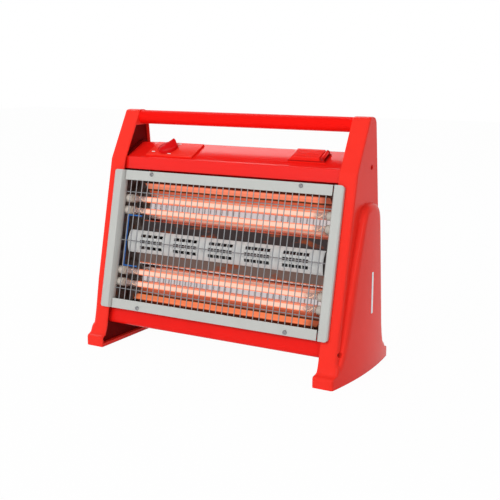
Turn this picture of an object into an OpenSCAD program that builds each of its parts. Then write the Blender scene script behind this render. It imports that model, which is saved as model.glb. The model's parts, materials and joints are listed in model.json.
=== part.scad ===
// Free-standing quartz heater: two moulded side panels carry a sheet-metal body
// with four quartz tubes, a fan behind a louvre strip, a carrying handle,
// a rotary switch and a small humidifier tank. Sizes are in millimetres.
// X runs to the right, Y to the back, Z up; the origin is on the floor under the middle.

/* [Side panels] */
// Clear width between the two side panels
panel_gap = 404; // [360:1:460]
// Width of a side panel seen from the front
panel_w = 30; // [24:0.5:36]
// Height of the side panels
panel_h = 398; // [394:0.5:410]
// Wall thickness of the moulded panels
panel_wall = 3; // [2:0.25:4]
// Height of the bend in the front edge
kink_z = 314; // [308:0.5:320]
// Lean of the front below the bend, in degrees
front_lean = 12.7; // [11.5:0.1:13.5]
// Length of the top of the panels, front to back
head_len = 24; // [22:0.5:28]
// Distance of the front plane from the middle, at floor level
front_reach = 94.4; // [92:0.2:98]
// Distance of the back edge from the middle, at floor level
back_reach = 91.2; // [89:0.2:96]
// Lean of the back edge, in degrees
back_lean = 6.3; // [5.5:0.1:7]
// Depth from the rim of a panel to its inner cover
rim_depth = 5; // [4:0.25:7]
// Thickness of the inner covers
inner_cover_t = 2.5; // [1.5:0.25:3.5]
// Rounding of the front top corner
top_front_r = 6; // [3:0.5:8]
// Rounding of the back top corner
top_back_r = 12; // [6:0.5:14]

/* [Feet and bosses] */
// Length of a foot, front to back
foot_len = 203.6; // [198:0.2:212]
// Height of the front face of a foot
foot_h = 18; // [14:0.5:22]
// Height over which a foot flares into the front of the panel
flare_h = 20; // [14:0.5:28]
// Height over which a foot flares into the back of the panel
heel_h = 8; // [6:0.5:20]
// Rounding of the foot edges
foot_r = 5; // [3:0.5:7]
// How far the boss stands out from the side face
boss_out = 12; // [8:0.2:14]
// Radius of the bowed outer face, seen from above
bow_radius = 620; // [500:5:900]
// Distance of the middle of the bow behind the middle
bow_mid = 12; // [0:0.5:24]
// Height of the top of the boss
boss_top_z = 267; // [240:0.5:280]
// Rounding of the boss corners, seen from the side
boss_corner_r = 22; // [14:0.5:28]
// Lean of the front of the boss, in degrees
boss_lean = 16.2; // [14:0.1:17]
// Setback of the boss from the front plane, at floor level
boss_setback = 6; // [4:0.5:12]
// Setback of the boss from the back edge
boss_back_set = 7; // [3:0.5:12]
// Rounding of the top and back edges of the boss
boss_round = 16; // [10:0.5:20]
// Rounding of the front edge of the boss
boss_front_round = 18; // [12:0.5:24]

/* [Blank side strips] */
// Length of the blank silver strip on each boss
strip_len = 66; // [50:1:80]
// Width of the strip
strip_w = 6; // [4:0.5:9]
// Thickness of the strip
strip_t = 1.4; // [1:0.1:2]
// How far the strip stands out of its recess
strip_proud = 0.4; // [0.2:0.1:0.6]
// Height of the middle of the strip
strip_mid_z = 127; // [115:1:140]
// Distance of the strip behind the middle
strip_y = 17; // [8:0.5:24]

/* [Handle] */
// Diameter of the handle tube
handle_d = 23.5; // [18:0.5:24]
// Wall of the handle tube
handle_wall = 2; // [1.2:0.1:3]
// Distance of the handle axis below the top of the panels
handle_drop = 12.9; // [12.8:0.1:15]
// Distance of the handle axis from the back edge of the panels
handle_in = 17.2; // [16:0.1:18]
// Depth of the handle seats in the panels
handle_seat = 14; // [8:0.5:18]
// Room below the handle before the panel is hollow
handle_floor = 1.5; // [1:0.5:6]

/* [Front frame] */
// Height of the silver frame, measured up the slope
frame_h = 237; // [236:0.5:240]
// Width of the top and bottom rails
rail_w = 16.5; // [14:0.5:18]
// Distance of the frame middle from the floor, up the slope
frame_mid = 187; // [186:0.5:189]
// How far the stiles stand out from the front plane
stile_proud = 6; // [4.5:0.25:8]
// How far the stiles lap over the panels
stile_lap = 13.5; // [10:0.5:18]
// How far the stiles reach into the opening
stile_reach = 6.8; // [6.4:0.1:8]
// Width of the sloped inner edge of a stile
stile_slope = 4.6; // [3:0.1:5.5]
// Depth of the inner wall of a stile behind the front plane
stile_wall_depth = 7; // [5:0.25:9]
// Rounding of the outer corners of the stiles
stile_corner_r = 6; // [3:0.5:9]
// Thickness of the frame sheet
frame_t = 1.2; // [0.8:0.1:1.5]
// Depth of the folded edge of a rail
rail_fold = 5; // [3:0.25:5]
// Distance of the frame screws from the middle
frame_screw_x = 141; // [110:1:150]
// Diameter of the frame screw heads
frame_screw_head = 7; // [5:0.25:8]
// Diameter of the frame screw shanks
frame_screw_d = 3.5; // [2.5:0.1:4]

/* [Wire guard] */
// Number of upright wires
wire_count = 33; // [25:2:41]
// Diameter of the wires
wire_d = 1.8; // [1.4:0.1:2]
// Height of the outer cross wires from the middle of the frame
cross_wire_v = 83; // [70:1:92]

/* [Heating tubes] */
// Outer diameter of a quartz tube
tube_d = 10; // [8.5:0.25:11]
// Wall of a quartz tube
tube_wall = 1; // [0.8:0.1:1.2]
// Distance of the tube axes behind the front plane
tube_depth = 14; // [12:0.5:16]
// Distance of each pair of tubes from the middle
pair_offset = 62.2; // [60:0.2:64]
// Distance between the two tubes of a pair
tube_pitch = 20.2; // [18.4:0.2:23]
// How far the heating unit sits below the middle of the frame
unit_drop = 1; // [0:0.25:2]
// Diameter of the ceramic end caps
cap_d = 14; // [13.4:0.1:15]
// How far the tubes sit to the right of the middle
tube_shift = 4; // [0:0.5:5]
// Mean length of a cap on the inner side of its end plate
cap_inner_len = 16; // [16:0.5:24]
// Length of a cap outside its end plate
cap_outer_len = 4; // [3:0.25:5.5]
// Depth of the tube socket in a cap
cap_socket = 6; // [4:0.5:10]
// Diameter of the groove of a cap
cap_groove_d = 11; // [9:0.25:12]
// Turns of each heating coil
coil_turns = 20; // [8:1:22]
// Wire diameter of the heating coils
coil_wire_d = 1; // [0.8:0.1:1.2]
// Outer diameter of the heating coils
coil_d = 6.8; // [5:0.1:7]

/* [Reflectors and chassis] */
// Distance from the middle to the left end of the reflectors
reflector_left = 162; // [152:1:170]
// Distance from the middle to the right end of the reflectors
reflector_right = 186; // [170:1:190]
// Depth of the back of the reflectors behind the front plane
reflector_depth = 33; // [30:0.5:35]
// Depth of the flat band beside the louvre strip
band_depth = 22; // [20:0.5:25]
// Thickness of the reflector sheet
reflector_t = 1; // [0.6:0.1:1.2]
// Depth of the chassis plate behind the front plane
chassis_depth = 45; // [44:0.5:50]
// Thickness of the chassis plate and end plates
plate_t = 1.2; // [0.8:0.1:1.6]

/* [Louvre strip] */
// Height of the louvre strip
louvre_h = 38; // [34:0.5:40]
// Distance from the middle to each end of the strip
louvre_half = 186; // [180:0.5:190]
// Bulge of the strip
louvre_bulge = 6; // [4:0.25:8]
// Depth of the edge of the strip behind the front plane
louvre_depth = 19; // [17:0.5:21]
// Thickness of the strip
louvre_t = 1; // [0.6:0.1:1.2]
// Number of slot groups
slot_groups = 5; // [3:1:5]
// Distance between slot groups
group_pitch = 69; // [64:0.5:72]
// Slots in one row of a group
slots_per_row = 4; // [2:1:4]
// Length of a slot
slot_len = 10; // [7:0.1:10.5]
// Height of a slot
slot_h = 5.2; // [3:0.1:6]
// Gap between slots in a row
slot_gap = 1.8; // [1.5:0.1:3]
// Distance between rows of slots
row_pitch = 10; // [8:0.25:11]

/* [Fan] */
// Depth of the fan axis behind the front plane
fan_depth = 78; // [76:0.5:82]
// Outer diameter of the fan wheel
fan_d = 40; // [34:0.5:44]
// Gap between the fan wheel and each end of its housing
fan_end_gap = 10; // [8:0.5:20]
// Number of blades
blade_count = 16; // [10:1:20]
// Diameter of the fan shaft
shaft_d = 6; // [5:0.25:7]
// Distance from the middle to the ends of the fan housing
housing_half = 158; // [156:0.5:159]
// Half the side of the end plates of the fan housing
housing_side = 30; // [28:0.5:32]
// Width of a blade
blade_w = 7; // [5:0.5:8]
// Outer diameter of the shaft bearings
bearing_d = 12; // [10:0.25:14]
// Length of the shaft bearings
bearing_len = 6; // [5:0.5:8]
// Diameter of the motor armature
armature_d = 20; // [16:0.5:22]
// Thickness of the motor stack
stack_t = 15; // [10:0.5:17]
// Reach of the motor stack below the shaft
stack_reach = 48; // [44:0.5:54]
// Half the width of the motor stack
stack_half = 22; // [20:0.5:24]
// Width of the bars of the motor stack
stack_bar = 8; // [6:0.5:9]

/* [Body sheets] */
// Thickness of the painted body sheets
sheet_t = 1.2; // [0.8:0.1:1.5]
// Height of the lower edge of the top cover
cover_z = 300; // [299.5:0.25:302]
// Height of the front band of the top cover
band_h = 18.5; // [16:0.5:19.5]
// Setback of the front band behind the front plane
band_set = 7; // [6:0.25:8]
// Slope of the top cover, in degrees
slope_angle = 25.1; // [24:0.1:26]
// Length of the slope
slope_len = 46.4; // [45:0.2:48]
// Height of the front edge of the slope
slope_z = 321.3; // [320.8:0.1:322]
// Distance of the front edge of the slope before the middle
slope_front = 11; // [10:0.25:12]
// Setback of the rear cover from the back edge
rear_set = 4.2; // [4:0.1:6]
// Height of the lowest row of vents in the back
vent_z = 118; // [100:1:130]
// Number of rows of vents
vent_rows = 7; // [3:1:8]
// Length of a vent
vent_len = 50; // [30:1:56]
// Height of a vent
vent_h = 6; // [3:0.5:8]
// Height of the underside of the base tray
base_z = 37; // [34:0.5:42]
// Setback of the lower front panel behind the front plane
lower_set = 10; // [8:0.25:11]
// Rounding of the bottom edge of the lower front panel
lower_r = 10; // [6:0.5:12]

/* [Controls] */
// Left edge of the control plate
control_x = -167; // [-180:1:-150]
// Width of the control plate
control_w = 94; // [80:1:110]
// Depth of the control plate along the slope
control_len = 43; // [40:0.5:44]
// Thickness of the control plate
control_t = 3; // [2:0.25:4]
// Distance of the knob axis from the left edge of the plate
knob_from_edge = 34; // [24:0.5:50]
// Diameter of the knob
knob_d = 34; // [26:0.5:36]
// Height of the knob disc
knob_h = 5; // [4:0.5:7]
// Height of the grip on the knob
grip_h = 8; // [5:0.5:12]
// Width of the ridge of the grip
grip_w = 4; // [3:0.5:8]
// Width of the foot of the grip
grip_foot = 22; // [14:0.5:26]
// Direction of the grip at rest, in degrees
grip_angle = 56; // [0:1:90]
// Diameter of the switch shaft
switch_shaft_d = 6; // [5:0.25:7]
// Side of the switch body
switch_side = 30; // [24:0.5:34]
// Height of the switch body
switch_h = 20; // [16:0.5:22]
// Length of the flat top of the grip
grip_flat = 4; // [2:0.5:8]

/* [Humidifier] */
// Left edge of the tank lid
lid_x = 104; // [95:1:115]
// Length of the lid
lid_len = 55; // [44:0.5:58]
// Width of the lid along the slope
lid_w = 25; // [23:0.5:27]
// Height of the lid
lid_h = 6.5; // [4:0.25:7]
// Distance of the lid from the front edge of the slope
lid_from_front = 12; // [9:0.25:14]
// Diameter of the hinge pin
lid_pin_d = 3; // [2:0.25:3.25]
// Depth of the tank below the cover
tank_depth = 22; // [14:0.5:25]
// Wall of the tank
tank_wall = 1.6; // [1.2:0.1:2]
// Length of the sloped left end of the lid
lid_ramp = 7; // [4:0.5:9]
// Width of the grooves in the lid
groove_w = 1.5; // [1:0.1:2.5]

/* [Fasteners and fittings] */
// Diameter of the side screw heads
side_screw_head = 8; // [6:0.25:9]
// Diameter of the side screw shanks
side_screw_d = 4; // [3:0.25:5]
// Depth of the side screw heads below the side face
side_screw_sink = 6; // [4:0.5:9]
// Bore of the cord gland
gland_bore = 7; // [5:0.25:8]
// Distance of the cord gland from the middle
gland_x = 150; // [120:1:165]
// Height of the cord gland
gland_z = 70; // [62:1:85]
// Diameter of the wires inside
lead_d = 2.4; // [1.5:0.1:3]
// Distance of the tilt switch from the middle
tilt_x = -150; // [-160:1:-120]
// Length of the tilt pendulum
tilt_len = 16; // [12:0.5:17]
// Diameter of the pendulum weight
tilt_bob_d = 12; // [8:0.5:12]
// Diameter of the thermal cut-out
cutout_d = 16; // [12:0.5:20]

/* [Hidden] */
$fn = 64;

// Clearances
gap = 0.3;
fit = 0.05;
eps = 0.01;
// How much wider a screw hole is than its screw
play = 0.4;
// How far a cut reaches past what it cuts
over = 1;

// Steps along a drawn curve
curve_steps = 8;

// Side panels
half_gap = panel_gap / 2;
side_x = half_gap + panel_w;
boss_x = side_x + boss_out;
foot_half = foot_len / 2;
upper_lean = atan((back_y(panel_h) - head_len - front_y(kink_z)) / (panel_h - kink_z));
handle_z = panel_h - handle_drop;
handle_y = back_y(handle_z) - handle_in;
head_z = handle_z - handle_d / 2 - handle_floor;
cover_face_x = half_gap + rim_depth;
lip_t = 3;
body_half = cover_face_x - gap;
cavity_floor = 6;
lower_screw_z = 49;
side_screws = [[31, kink_z + 7], [front_y(lower_screw_z) + side_screw_head, lower_screw_z]];
screw_boss_d = side_screw_head + 5;
bow_steps = 12;
function front_y(z) = -front_reach + z * tan(front_lean);
function upper_y(z) = front_y(kink_z) + (z - kink_z) * tan(upper_lean);
function back_y(z) = back_reach - z * tan(back_lean);
function boss_front_y(z) = -front_reach + boss_setback + z * tan(boss_lean);

// Front frame, in the plane of the lower front
opening_half = half_gap - stile_reach;
frame_half = frame_h / 2;
opening_v = frame_half - rail_w;
frame_screw_v = frame_half - 5;
wire_pitch = 2 * opening_half / (wire_count + 1);
wire_back = 1.6;
wire_w = -(wire_d / 2 + wire_back);
guard_v = opening_v + 5.5;
rim_inset = 2;
plate_v = opening_v + 5;

// Heating unit
end_x = half_gap - 4;
air_slot_v = louvre_h / 2 - 2;
cap_inner_x = end_x - cap_inner_len;
tube_half = cap_inner_x + cap_socket - gap;
tube_v = [for (pair = [1, -1]) for (k = [1, -1]) pair * pair_offset + k * tube_pitch / 2 - unit_drop];
flange_w = -(rail_fold - 0.5);
band_v = louvre_h / 2 + gap;
coil_half = cap_inner_x - 8;
coil_r = (coil_d - coil_wire_d) / 2;

// Fan
housing_r = fan_d / 2 + 6;
fan_half = housing_half - fan_end_gap;
motor_stand = 6;
motor_x = housing_half + plate_t + motor_stand;
shaft_past = 5;
winding_t = 5;

// Body
vent_columns = 2;
vent_pitch_x = 65;
vent_pitch_z = 24;
gland_d = gland_bore + 7;
lower_flange = 20;
slope_end = [-slope_front + slope_len * cos(slope_angle), slope_z + slope_len * sin(slope_angle)];
band_foot = [front_y(cover_z) + band_set, cover_z];
band_head = [band_foot[0] + band_h * tan(front_lean), cover_z + band_h];
cover_back_drop = 22;
knob_x = control_x + knob_from_edge;
control_front = 2;
shaft_hole_d = switch_shaft_d + 3;
knob_v = control_front + control_len / 2;
knob_bore = knob_h + grip_h / 3;
lid_end_x = lid_x + lid_len;
knuckle_wall = 1.7;
knuckle_r = lid_pin_d / 2 + knuckle_wall;
hinge_x = lid_end_x + knuckle_r + 2 * gap;
bezel_t = 1.6;
bezel_margin = 1.5;
tank_rim_t = 1;
bezel_top = fit + tank_rim_t + bezel_t;
hinge_h = bezel_top + knuckle_r + 0.2;
ear_t = 3;
tank_lap = 3.5;
tank_front = -slope_front + (lid_from_front + tank_lap) * cos(slope_angle);
tank_back = -slope_front + (lid_from_front + lid_w - tank_lap) * cos(slope_angle);
tank_floor = slope_z - tank_depth;
tank_x0 = lid_x + 3;
tank_x1 = lid_end_x - 2;

// Curves
function arc(c, r, a0, a1, n) = [for (i = [0 : n]) let (a = a0 + (a1 - a0) * i / n)
    c + r * [cos(a), sin(a)]];
function bend(a, b, c) = [for (i = [0 : curve_steps]) let (t = i / curve_steps)
    (1 - t) * (1 - t) * a + 2 * t * (1 - t) * b + t * t * c];
function unit(v) = v / norm(v);
function across(v) = [-v[1], v[0]];
function reversed(p) = [for (i = [len(p) - 1 : -1 : 0]) p[i]];
function beside(p, d) = [for (i = [0 : len(p) - 1])
    let (a = i == 0 ? unit(p[1] - p[0]) : unit(p[i] - p[i - 1]))
    let (b = i == len(p) - 1 ? a : unit(p[i + 1] - p[i]))
    p[i] + d * (across(a) + across(b)) / (1 + a * b)];
// A folded strip that lies between two distances to the left of a path
function strip(p, d0, d1) = concat(beside(p, d0), reversed(beside(p, d1)));

// Places
module along_x(x0, x1) {
    translate([x0, 0, 0]) rotate([90, 0, 90]) linear_extrude(x1 - x0) children();
}
module along_y(y0, y1) {
    translate([0, y1, 0]) rotate([90, 0, 0]) linear_extrude(y1 - y0) children();
}
module rod_x(x0, x1, d) {
    translate([x0, 0, 0]) rotate([0, 90, 0]) cylinder(d = d, h = x1 - x0);
}
// X across, Y up the front slope from the middle of the frame, Z out of the front
module on_front() {
    translate([0, -front_reach, 0]) rotate([90 - front_lean, 0, 0])
        translate([0, frame_mid, 0]) children();
}
// X across, Y up the slope of the top cover, Z out of it
module on_slope() {
    translate([0, -slope_front, slope_z]) rotate([slope_angle, 0, 0]) children();
}
module mirror_left(left) {
    mirror([left ? 1 : 0, 0, 0]) children();
}

// Side panels
function panel_outline() = concat(
    [[foot_half, 0]],
    bend([foot_half, foot_h - foot_r], [foot_half, foot_h], [foot_half - foot_r, foot_h]),
    bend([foot_half - foot_r - 1, foot_h], [back_y(foot_h), foot_h],
        [back_y(foot_h + heel_h), foot_h + heel_h]),
    bend([back_y(panel_h - top_back_r), panel_h - top_back_r], [back_y(panel_h), panel_h],
        [back_y(panel_h) - top_back_r, panel_h]),
    bend([upper_y(panel_h) + top_front_r / 2, panel_h], [upper_y(panel_h), panel_h],
        [upper_y(panel_h - top_front_r), panel_h - top_front_r]),
    [[front_y(kink_z), kink_z]],
    bend([front_y(foot_h + flare_h), foot_h + flare_h], [front_y(foot_h), foot_h],
        [-foot_half + foot_r + 1, foot_h]),
    bend([-foot_half + foot_r, foot_h], [-foot_half, foot_h], [-foot_half, foot_h - foot_r]),
    [[-foot_half, 0]]);
function cavity_outline(inset) = let (t = (panel_wall + inset) / cos(upper_lean)) [
    [back_y(cavity_floor) - t, cavity_floor + inset],
    [back_y(head_z) - t, head_z - inset],
    [upper_y(head_z) + t, head_z - inset],
    [front_y(kink_z) + t, kink_z],
    [front_y(cavity_floor) + t, cavity_floor + inset]];
function boss_outline(inset, front) = let (top = boss_top_z - inset, r = max(2, boss_corner_r - inset))
    let (f = boss_front_y(top) + front, b = back_y(top) - boss_back_set - inset)
    concat(
        [[back_y(0) - boss_back_set - inset, 0]],
        bend([back_y(top - r) - boss_back_set - inset, top - r], [b, top], [b - r, top]),
        bend([f + r, top], [f, top], [boss_front_y(top - r) + front, top - r]),
        [[boss_front_y(0) + front, 0]]);
// Outline of a panel seen from above, with its bowed outer face
function bow_x(y) = boss_x - bow_radius + sqrt(bow_radius * bow_radius - (y - bow_mid) * (y - bow_mid));
function plan_outline(inset) = let (e = foot_half - foot_r, f = bow_x(-e) - inset, b = bow_x(e) - inset)
    concat([[half_gap, -foot_half]],
        bend([f - foot_r, -foot_half], [f, -foot_half], [f, -e]),
        [for (i = [1 - bow_steps : bow_steps - 1]) let (y = e * i / bow_steps) [bow_x(y) - inset, y]],
        bend([b, e], [b, foot_half], [b - foot_r, foot_half]),
        [[half_gap, foot_half]]);
// Each section of the boss: share of its height, share of its edge rounding
boss_sections = [[0, 0], [0.6, 0.2], [0.88, 0.5], [1, 1]];
module boss(inset) {
    hull() for (s = boss_sections) let (x = side_x - inset + s[0] * (boss_out + over))
        along_x(x - over, x)
            polygon(boss_outline(inset + s[1] * boss_round, inset + s[1] * boss_front_round));
}
module foot_flare() {
    along_y(-foot_half, foot_half) polygon(concat(
        [[half_gap + panel_wall, 0], [boss_x + over, 0], [boss_x + over, foot_h]],
        bend([boss_x - foot_r, foot_h], [side_x, foot_h], [side_x, foot_h + flare_h]),
        [[half_gap + panel_wall, foot_h + flare_h]]));
}
module at_side_screws(x) {
    for (p = side_screws) translate([x, p[0], p[1]]) children();
}
module side_shell() {
    difference() {
        intersection() {
            union() {
                along_x(half_gap, side_x) polygon(panel_outline());
                intersection() {
                    foot_flare();
                    along_x(half_gap, boss_x + 2 * over) polygon(panel_outline());
                }
                boss(0);
            }
            translate([0, 0, -over]) linear_extrude(panel_h + 2 * over) polygon(plan_outline(0));
        }
        difference() {
            union() {
                along_x(half_gap - over, side_x - panel_wall) polygon(cavity_outline(0));
                intersection() {
                    boss(panel_wall);
                    translate([0, 0, foot_h + flare_h]) linear_extrude(panel_h)
                        polygon(plan_outline(panel_wall));
                }
            }
            at_side_screws(cover_face_x + inner_cover_t) rod_x(0, panel_w + boss_out, screw_boss_d);
        }
        translate([0, handle_y, handle_z])
            rod_x(half_gap - over, half_gap + handle_seat + gap, handle_d + 2 * fit);
        at_side_screws(cover_face_x) rod_x(0, panel_w, side_screw_d + play);
        at_side_screws(side_x - side_screw_sink) rod_x(0, panel_w + boss_out, side_screw_head + 2 * gap);
        at_blank_strip(gap) cube([boss_out, strip_w + 2 * gap, strip_len + 2 * gap]);
    }
}
module left_side_shell() {
    color("red") mirror_left(true) side_shell();
}
module right_side_shell() {
    color("red") side_shell();
}

// Inner covers close the panels and carry a lip over the ends of the top cover
module inner_cover() {
    path = cover_path();
    lip = [for (i = [curve_steps + 1 : len(path) - curve_steps - 3]) path[i]];
    difference() {
        union() {
            along_x(cover_face_x, cover_face_x + inner_cover_t) polygon(cavity_outline(gap));
            along_x(half_gap + gap, cover_face_x + eps) polygon(strip(lip, gap, gap + lip_t));
        }
        at_side_screws(half_gap) rod_x(0, panel_w, side_screw_d + 2 * fit);
    }
}
module left_inner_cover() {
    color("darkred") mirror_left(true) inner_cover();
}
module right_inner_cover() {
    color("darkred") inner_cover();
}
module side_screw_group() {
    head_x = side_x - side_screw_sink;
    head_t = 2.5;
    at_side_screws(0) {
        rod_x(cover_face_x, head_x + head_t, side_screw_d);
        rod_x(head_x, head_x + head_t, side_screw_head);
    }
}
module left_side_screws() {
    color("dimgray") mirror_left(true) side_screw_group();
}
module right_side_screws() {
    color("dimgray") side_screw_group();
}
module at_blank_strip(edge) {
    translate([boss_x - strip_t + strip_proud, strip_y, strip_mid_z])
        translate([0, -strip_w / 2 - edge, -strip_len / 2 - edge]) children();
}
module blank_strip() {
    at_blank_strip(0) cube([strip_t, strip_w, strip_len]);
}
module left_blank_strip() {
    color("silver") mirror_left(true) blank_strip();
}
module right_blank_strip() {
    color("silver") blank_strip();
}
module handle_tube() {
    end = half_gap + handle_seat;
    color("red") translate([0, handle_y, handle_z]) difference() {
        rod_x(-end, end, handle_d);
        rod_x(-end - over, end + over, handle_d - 2 * handle_wall);
    }
}

// Body sheets
function cover_path() = concat(
    [band_foot],
    bend(band_head, [band_head[0] + 1, slope_z - 0.5], [-slope_front, slope_z]),
    bend(slope_end, slope_end + [5, 1.4], slope_end + [10, 0.2]),
    bend(slope_end + [12, -0.4], slope_end + [17, -1.6], slope_end + [17.6, -9]),
    [rear_point(slope_end[1] - cover_back_drop)]);
module top_cover() {
    color("red") difference() {
        along_x(-body_half, body_half) polygon(strip(cover_path(), 0, -sheet_t));
        at_knob() translate([0, 0, -sheet_t - over]) cylinder(d = shaft_hole_d, h = sheet_t + 2 * over);
        tank_prism(-gap, slope_z - tank_depth / 2);
    }
}
function rear_point(z) = [back_y(z) - rear_set, z];
module rear_cover() {
    top = slope_end[1] - cover_back_drop - gap;
    flange = 25;
    corner = 6;
    color("firebrick") difference() {
        along_x(-body_half, body_half) polygon(strip(concat(
            [rear_point(base_z) - [flange, 0]],
            bend(rear_point(base_z) - [corner, 0], rear_point(base_z), rear_point(base_z + corner)),
            [rear_point(top)]), 0, sheet_t));
        for (row = [0 : vent_rows - 1]) for (k = [-vent_columns : vent_columns])
            translate([k * vent_pitch_x - vent_len / 2, 0, vent_z + row * vent_pitch_z])
                cube([vent_len, back_reach, vent_h]);
        gland_place() translate([0, 0, -gland_bore]) cylinder(d = gland_d + 2 * fit, h = 2 * gland_bore);
    }
}
module lower_front_panel() {
    top_z = (frame_mid - plate_v - lower_set * tan(front_lean) - over) * cos(front_lean);
    foot = [front_y(base_z) + lower_set / cos(front_lean), base_z];
    head = [front_y(top_z) + lower_set / cos(front_lean), top_z];
    up = unit(head - foot);
    color("red") along_x(-body_half, body_half) polygon(strip(concat(
        [head],
        bend(foot + up * lower_r, foot, foot + [lower_r, 0]),
        [foot + [lower_r + lower_flange, 0]]), 0, sheet_t));
}
module base_tray() {
    inset = 6;
    front = front_y(base_z) + lower_set + lower_r + inset;
    back = rear_point(base_z)[0] - inset - sheet_t;
    color("dimgray") translate([-body_half, front, base_z + sheet_t + fit])
        cube([2 * body_half, back - front, sheet_t]);
}

// Front frame
module rail(side) {
    v0 = side > 0 ? opening_v : -frame_half;
    fold_v = side > 0 ? frame_half - frame_t : -frame_half;
    half = opening_half - gap;
    on_front() difference() {
        union() {
            translate([-half, v0, 0]) cube([2 * half, rail_w, frame_t]);
            translate([-half, fold_v, -rail_fold]) cube([2 * half, frame_t, rail_fold + eps]);
        }
        for (x = [-frame_screw_x, frame_screw_x]) translate([x, side * frame_screw_v, -over])
            cylinder(d = frame_screw_d + play, h = frame_t + 2 * over);
    }
}
module frame_top_rail() {
    color("silver") rail(1);
}
module frame_bottom_rail() {
    color("silver") rail(-1);
}
function stile_outline(outer, r) = concat(
    [[opening_half - over, -frame_half]],
    bend([outer - r, -frame_half], [outer, -frame_half], [outer, r - frame_half]),
    bend([outer, frame_half - r], [outer, frame_half], [outer - r, frame_half]),
    [[opening_half - over, frame_half]]);
module stile() {
    outer = half_gap + stile_lap;
    corner = 2;
    path = concat(
        [[outer, fit]],
        bend([outer, stile_proud - corner], [outer, stile_proud], [outer - corner, stile_proud]),
        [[opening_half + stile_slope, stile_proud], [opening_half, -corner],
            [opening_half, -stile_wall_depth]]);
    on_front() intersection() {
        translate([0, frame_half + over, 0]) rotate([90, 0, 0]) linear_extrude(frame_h + 2 * over)
            polygon(strip(path, 0, frame_t));
        translate([0, 0, -stile_wall_depth - over])
            linear_extrude(stile_wall_depth + stile_proud + 2 * over)
                polygon(stile_outline(outer, stile_corner_r));
    }
}
module frame_left_stile() {
    color("silver") mirror_left(true) stile();
}
module frame_right_stile() {
    color("silver") stile();
}
module frame_screws() {
    shank = 8;
    head_t = 2;
    color("lightgray") on_front() for (x = [-frame_screw_x, frame_screw_x]) for (s = [-1, 1])
        translate([x, s * frame_screw_v, frame_t + fit]) {
            translate([0, 0, -shank]) cylinder(d = frame_screw_d, h = shank + head_t);
            cylinder(d = frame_screw_head, h = head_t);
        }
}
module wire_guard() {
    half = opening_half - gap;
    weld = 0.74;
    $fn = 24;
    color("lightgray") on_front() {
        for (i = [1 : wire_count]) translate([-opening_half + i * wire_pitch, -guard_v, wire_w])
            rotate([-90, 0, 0]) cylinder(d = wire_d, h = 2 * guard_v);
        for (v = [-cross_wire_v, 0, cross_wire_v]) translate([0, v - unit_drop, wire_w - weld * wire_d])
            rod_x(-half, half, wire_d);
        for (v = [rim_inset - guard_v, guard_v - rim_inset]) translate([0, v, wire_w + weld * wire_d])
            rod_x(-half, half, wire_d);
    }
}

// Chassis and reflectors
module chassis_plate() {
    half = end_x - fit;
    slot_half = housing_half - 3;
    color("gainsboro") on_front() translate([0, 0, -chassis_depth - plate_t]) difference() {
        translate([-half, -plate_v, 0]) cube([2 * half, 2 * plate_v, plate_t]);
        translate([-slot_half, -air_slot_v - unit_drop, -over])
            cube([2 * slot_half, 2 * air_slot_v, plate_t + 2 * over]);
    }
}
module end_plate() {
    back = -chassis_depth - plate_t;
    slot_w = cap_groove_d + 2 * fit;
    color("gainsboro") on_front() difference() {
        along_x(end_x, end_x + plate_t)
            polygon([[-plate_v, back], [plate_v, back], [plate_v, flange_w], [-plate_v, flange_w]]);
        for (v = tube_v) translate([end_x - over, v, -tube_depth]) {
            rod_x(0, plate_t + 2 * over, slot_w);
            translate([0, -slot_w / 2, 0]) cube([plate_t + 2 * over, slot_w, tube_depth]);
        }
    }
}
module left_end_plate() {
    mirror_left(true) end_plate();
}
module right_end_plate() {
    end_plate();
}
// From the flange behind a rail, round the back of a pair of tubes, to the chassis
function reflector_path(side) = let (c = pair_offset, back = -reflector_depth)
    concat(
        [[frame_half - frame_t - gap + side * unit_drop, flange_w], [guard_v - 1, flange_w]],
        bend([c + 27, back + 8], [c + 22, back], [c + 14, back]),
        bend([c - 14, back], [c - 22, back], [c - 24, -band_depth - 5]),
        [[c - 25, -band_depth], [band_v, -band_depth], [band_v, fit - chassis_depth]]);
module reflector(side) {
    on_front() difference() {
        translate([0, -unit_drop, 0]) along_x(-reflector_left, reflector_right)
            mirror([side > 0 ? 0 : 1, 0]) polygon(strip(reflector_path(side), 0, reflector_t));
        for (x = [-frame_screw_x, frame_screw_x])
            translate([x, side * frame_screw_v, flange_w - reflector_t - over])
                cylinder(d = frame_screw_d + play, h = reflector_t + 2 * over);
    }
}
module upper_reflector() {
    color("gainsboro") reflector(1);
}
module lower_reflector() {
    color("gainsboro") reflector(-1);
}
module louvre_strip() {
    h = louvre_h / 2;
    r = (h * h + louvre_bulge * louvre_bulge) / (2 * louvre_bulge);
    a = asin(h / r);
    slot_pitch = slot_len + slot_gap;
    edge = 10;
    color("white") on_front() translate([0, -unit_drop, 0]) difference() {
        along_x(-louvre_half, louvre_half) polygon(strip(concat(
            [[h, -louvre_depth - edge]],
            arc([0, louvre_bulge - louvre_depth - r], r, 90 - a, 90 + a, 2 * curve_steps),
            [[-h, -louvre_depth - edge]]), 0, louvre_t));
        for (g = [0 : slot_groups - 1]) for (row = [-1 : 1]) for (k = [0 : slots_per_row - 1])
            translate([(g - (slot_groups - 1) / 2) * group_pitch + (k - (slots_per_row - 1) / 2) * slot_pitch,
                row * row_pitch, 0]) translate([-slot_len / 2, -slot_h / 2, -louvre_depth])
                    cube([slot_len, slot_h, louvre_depth]);
    }
}

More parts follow.
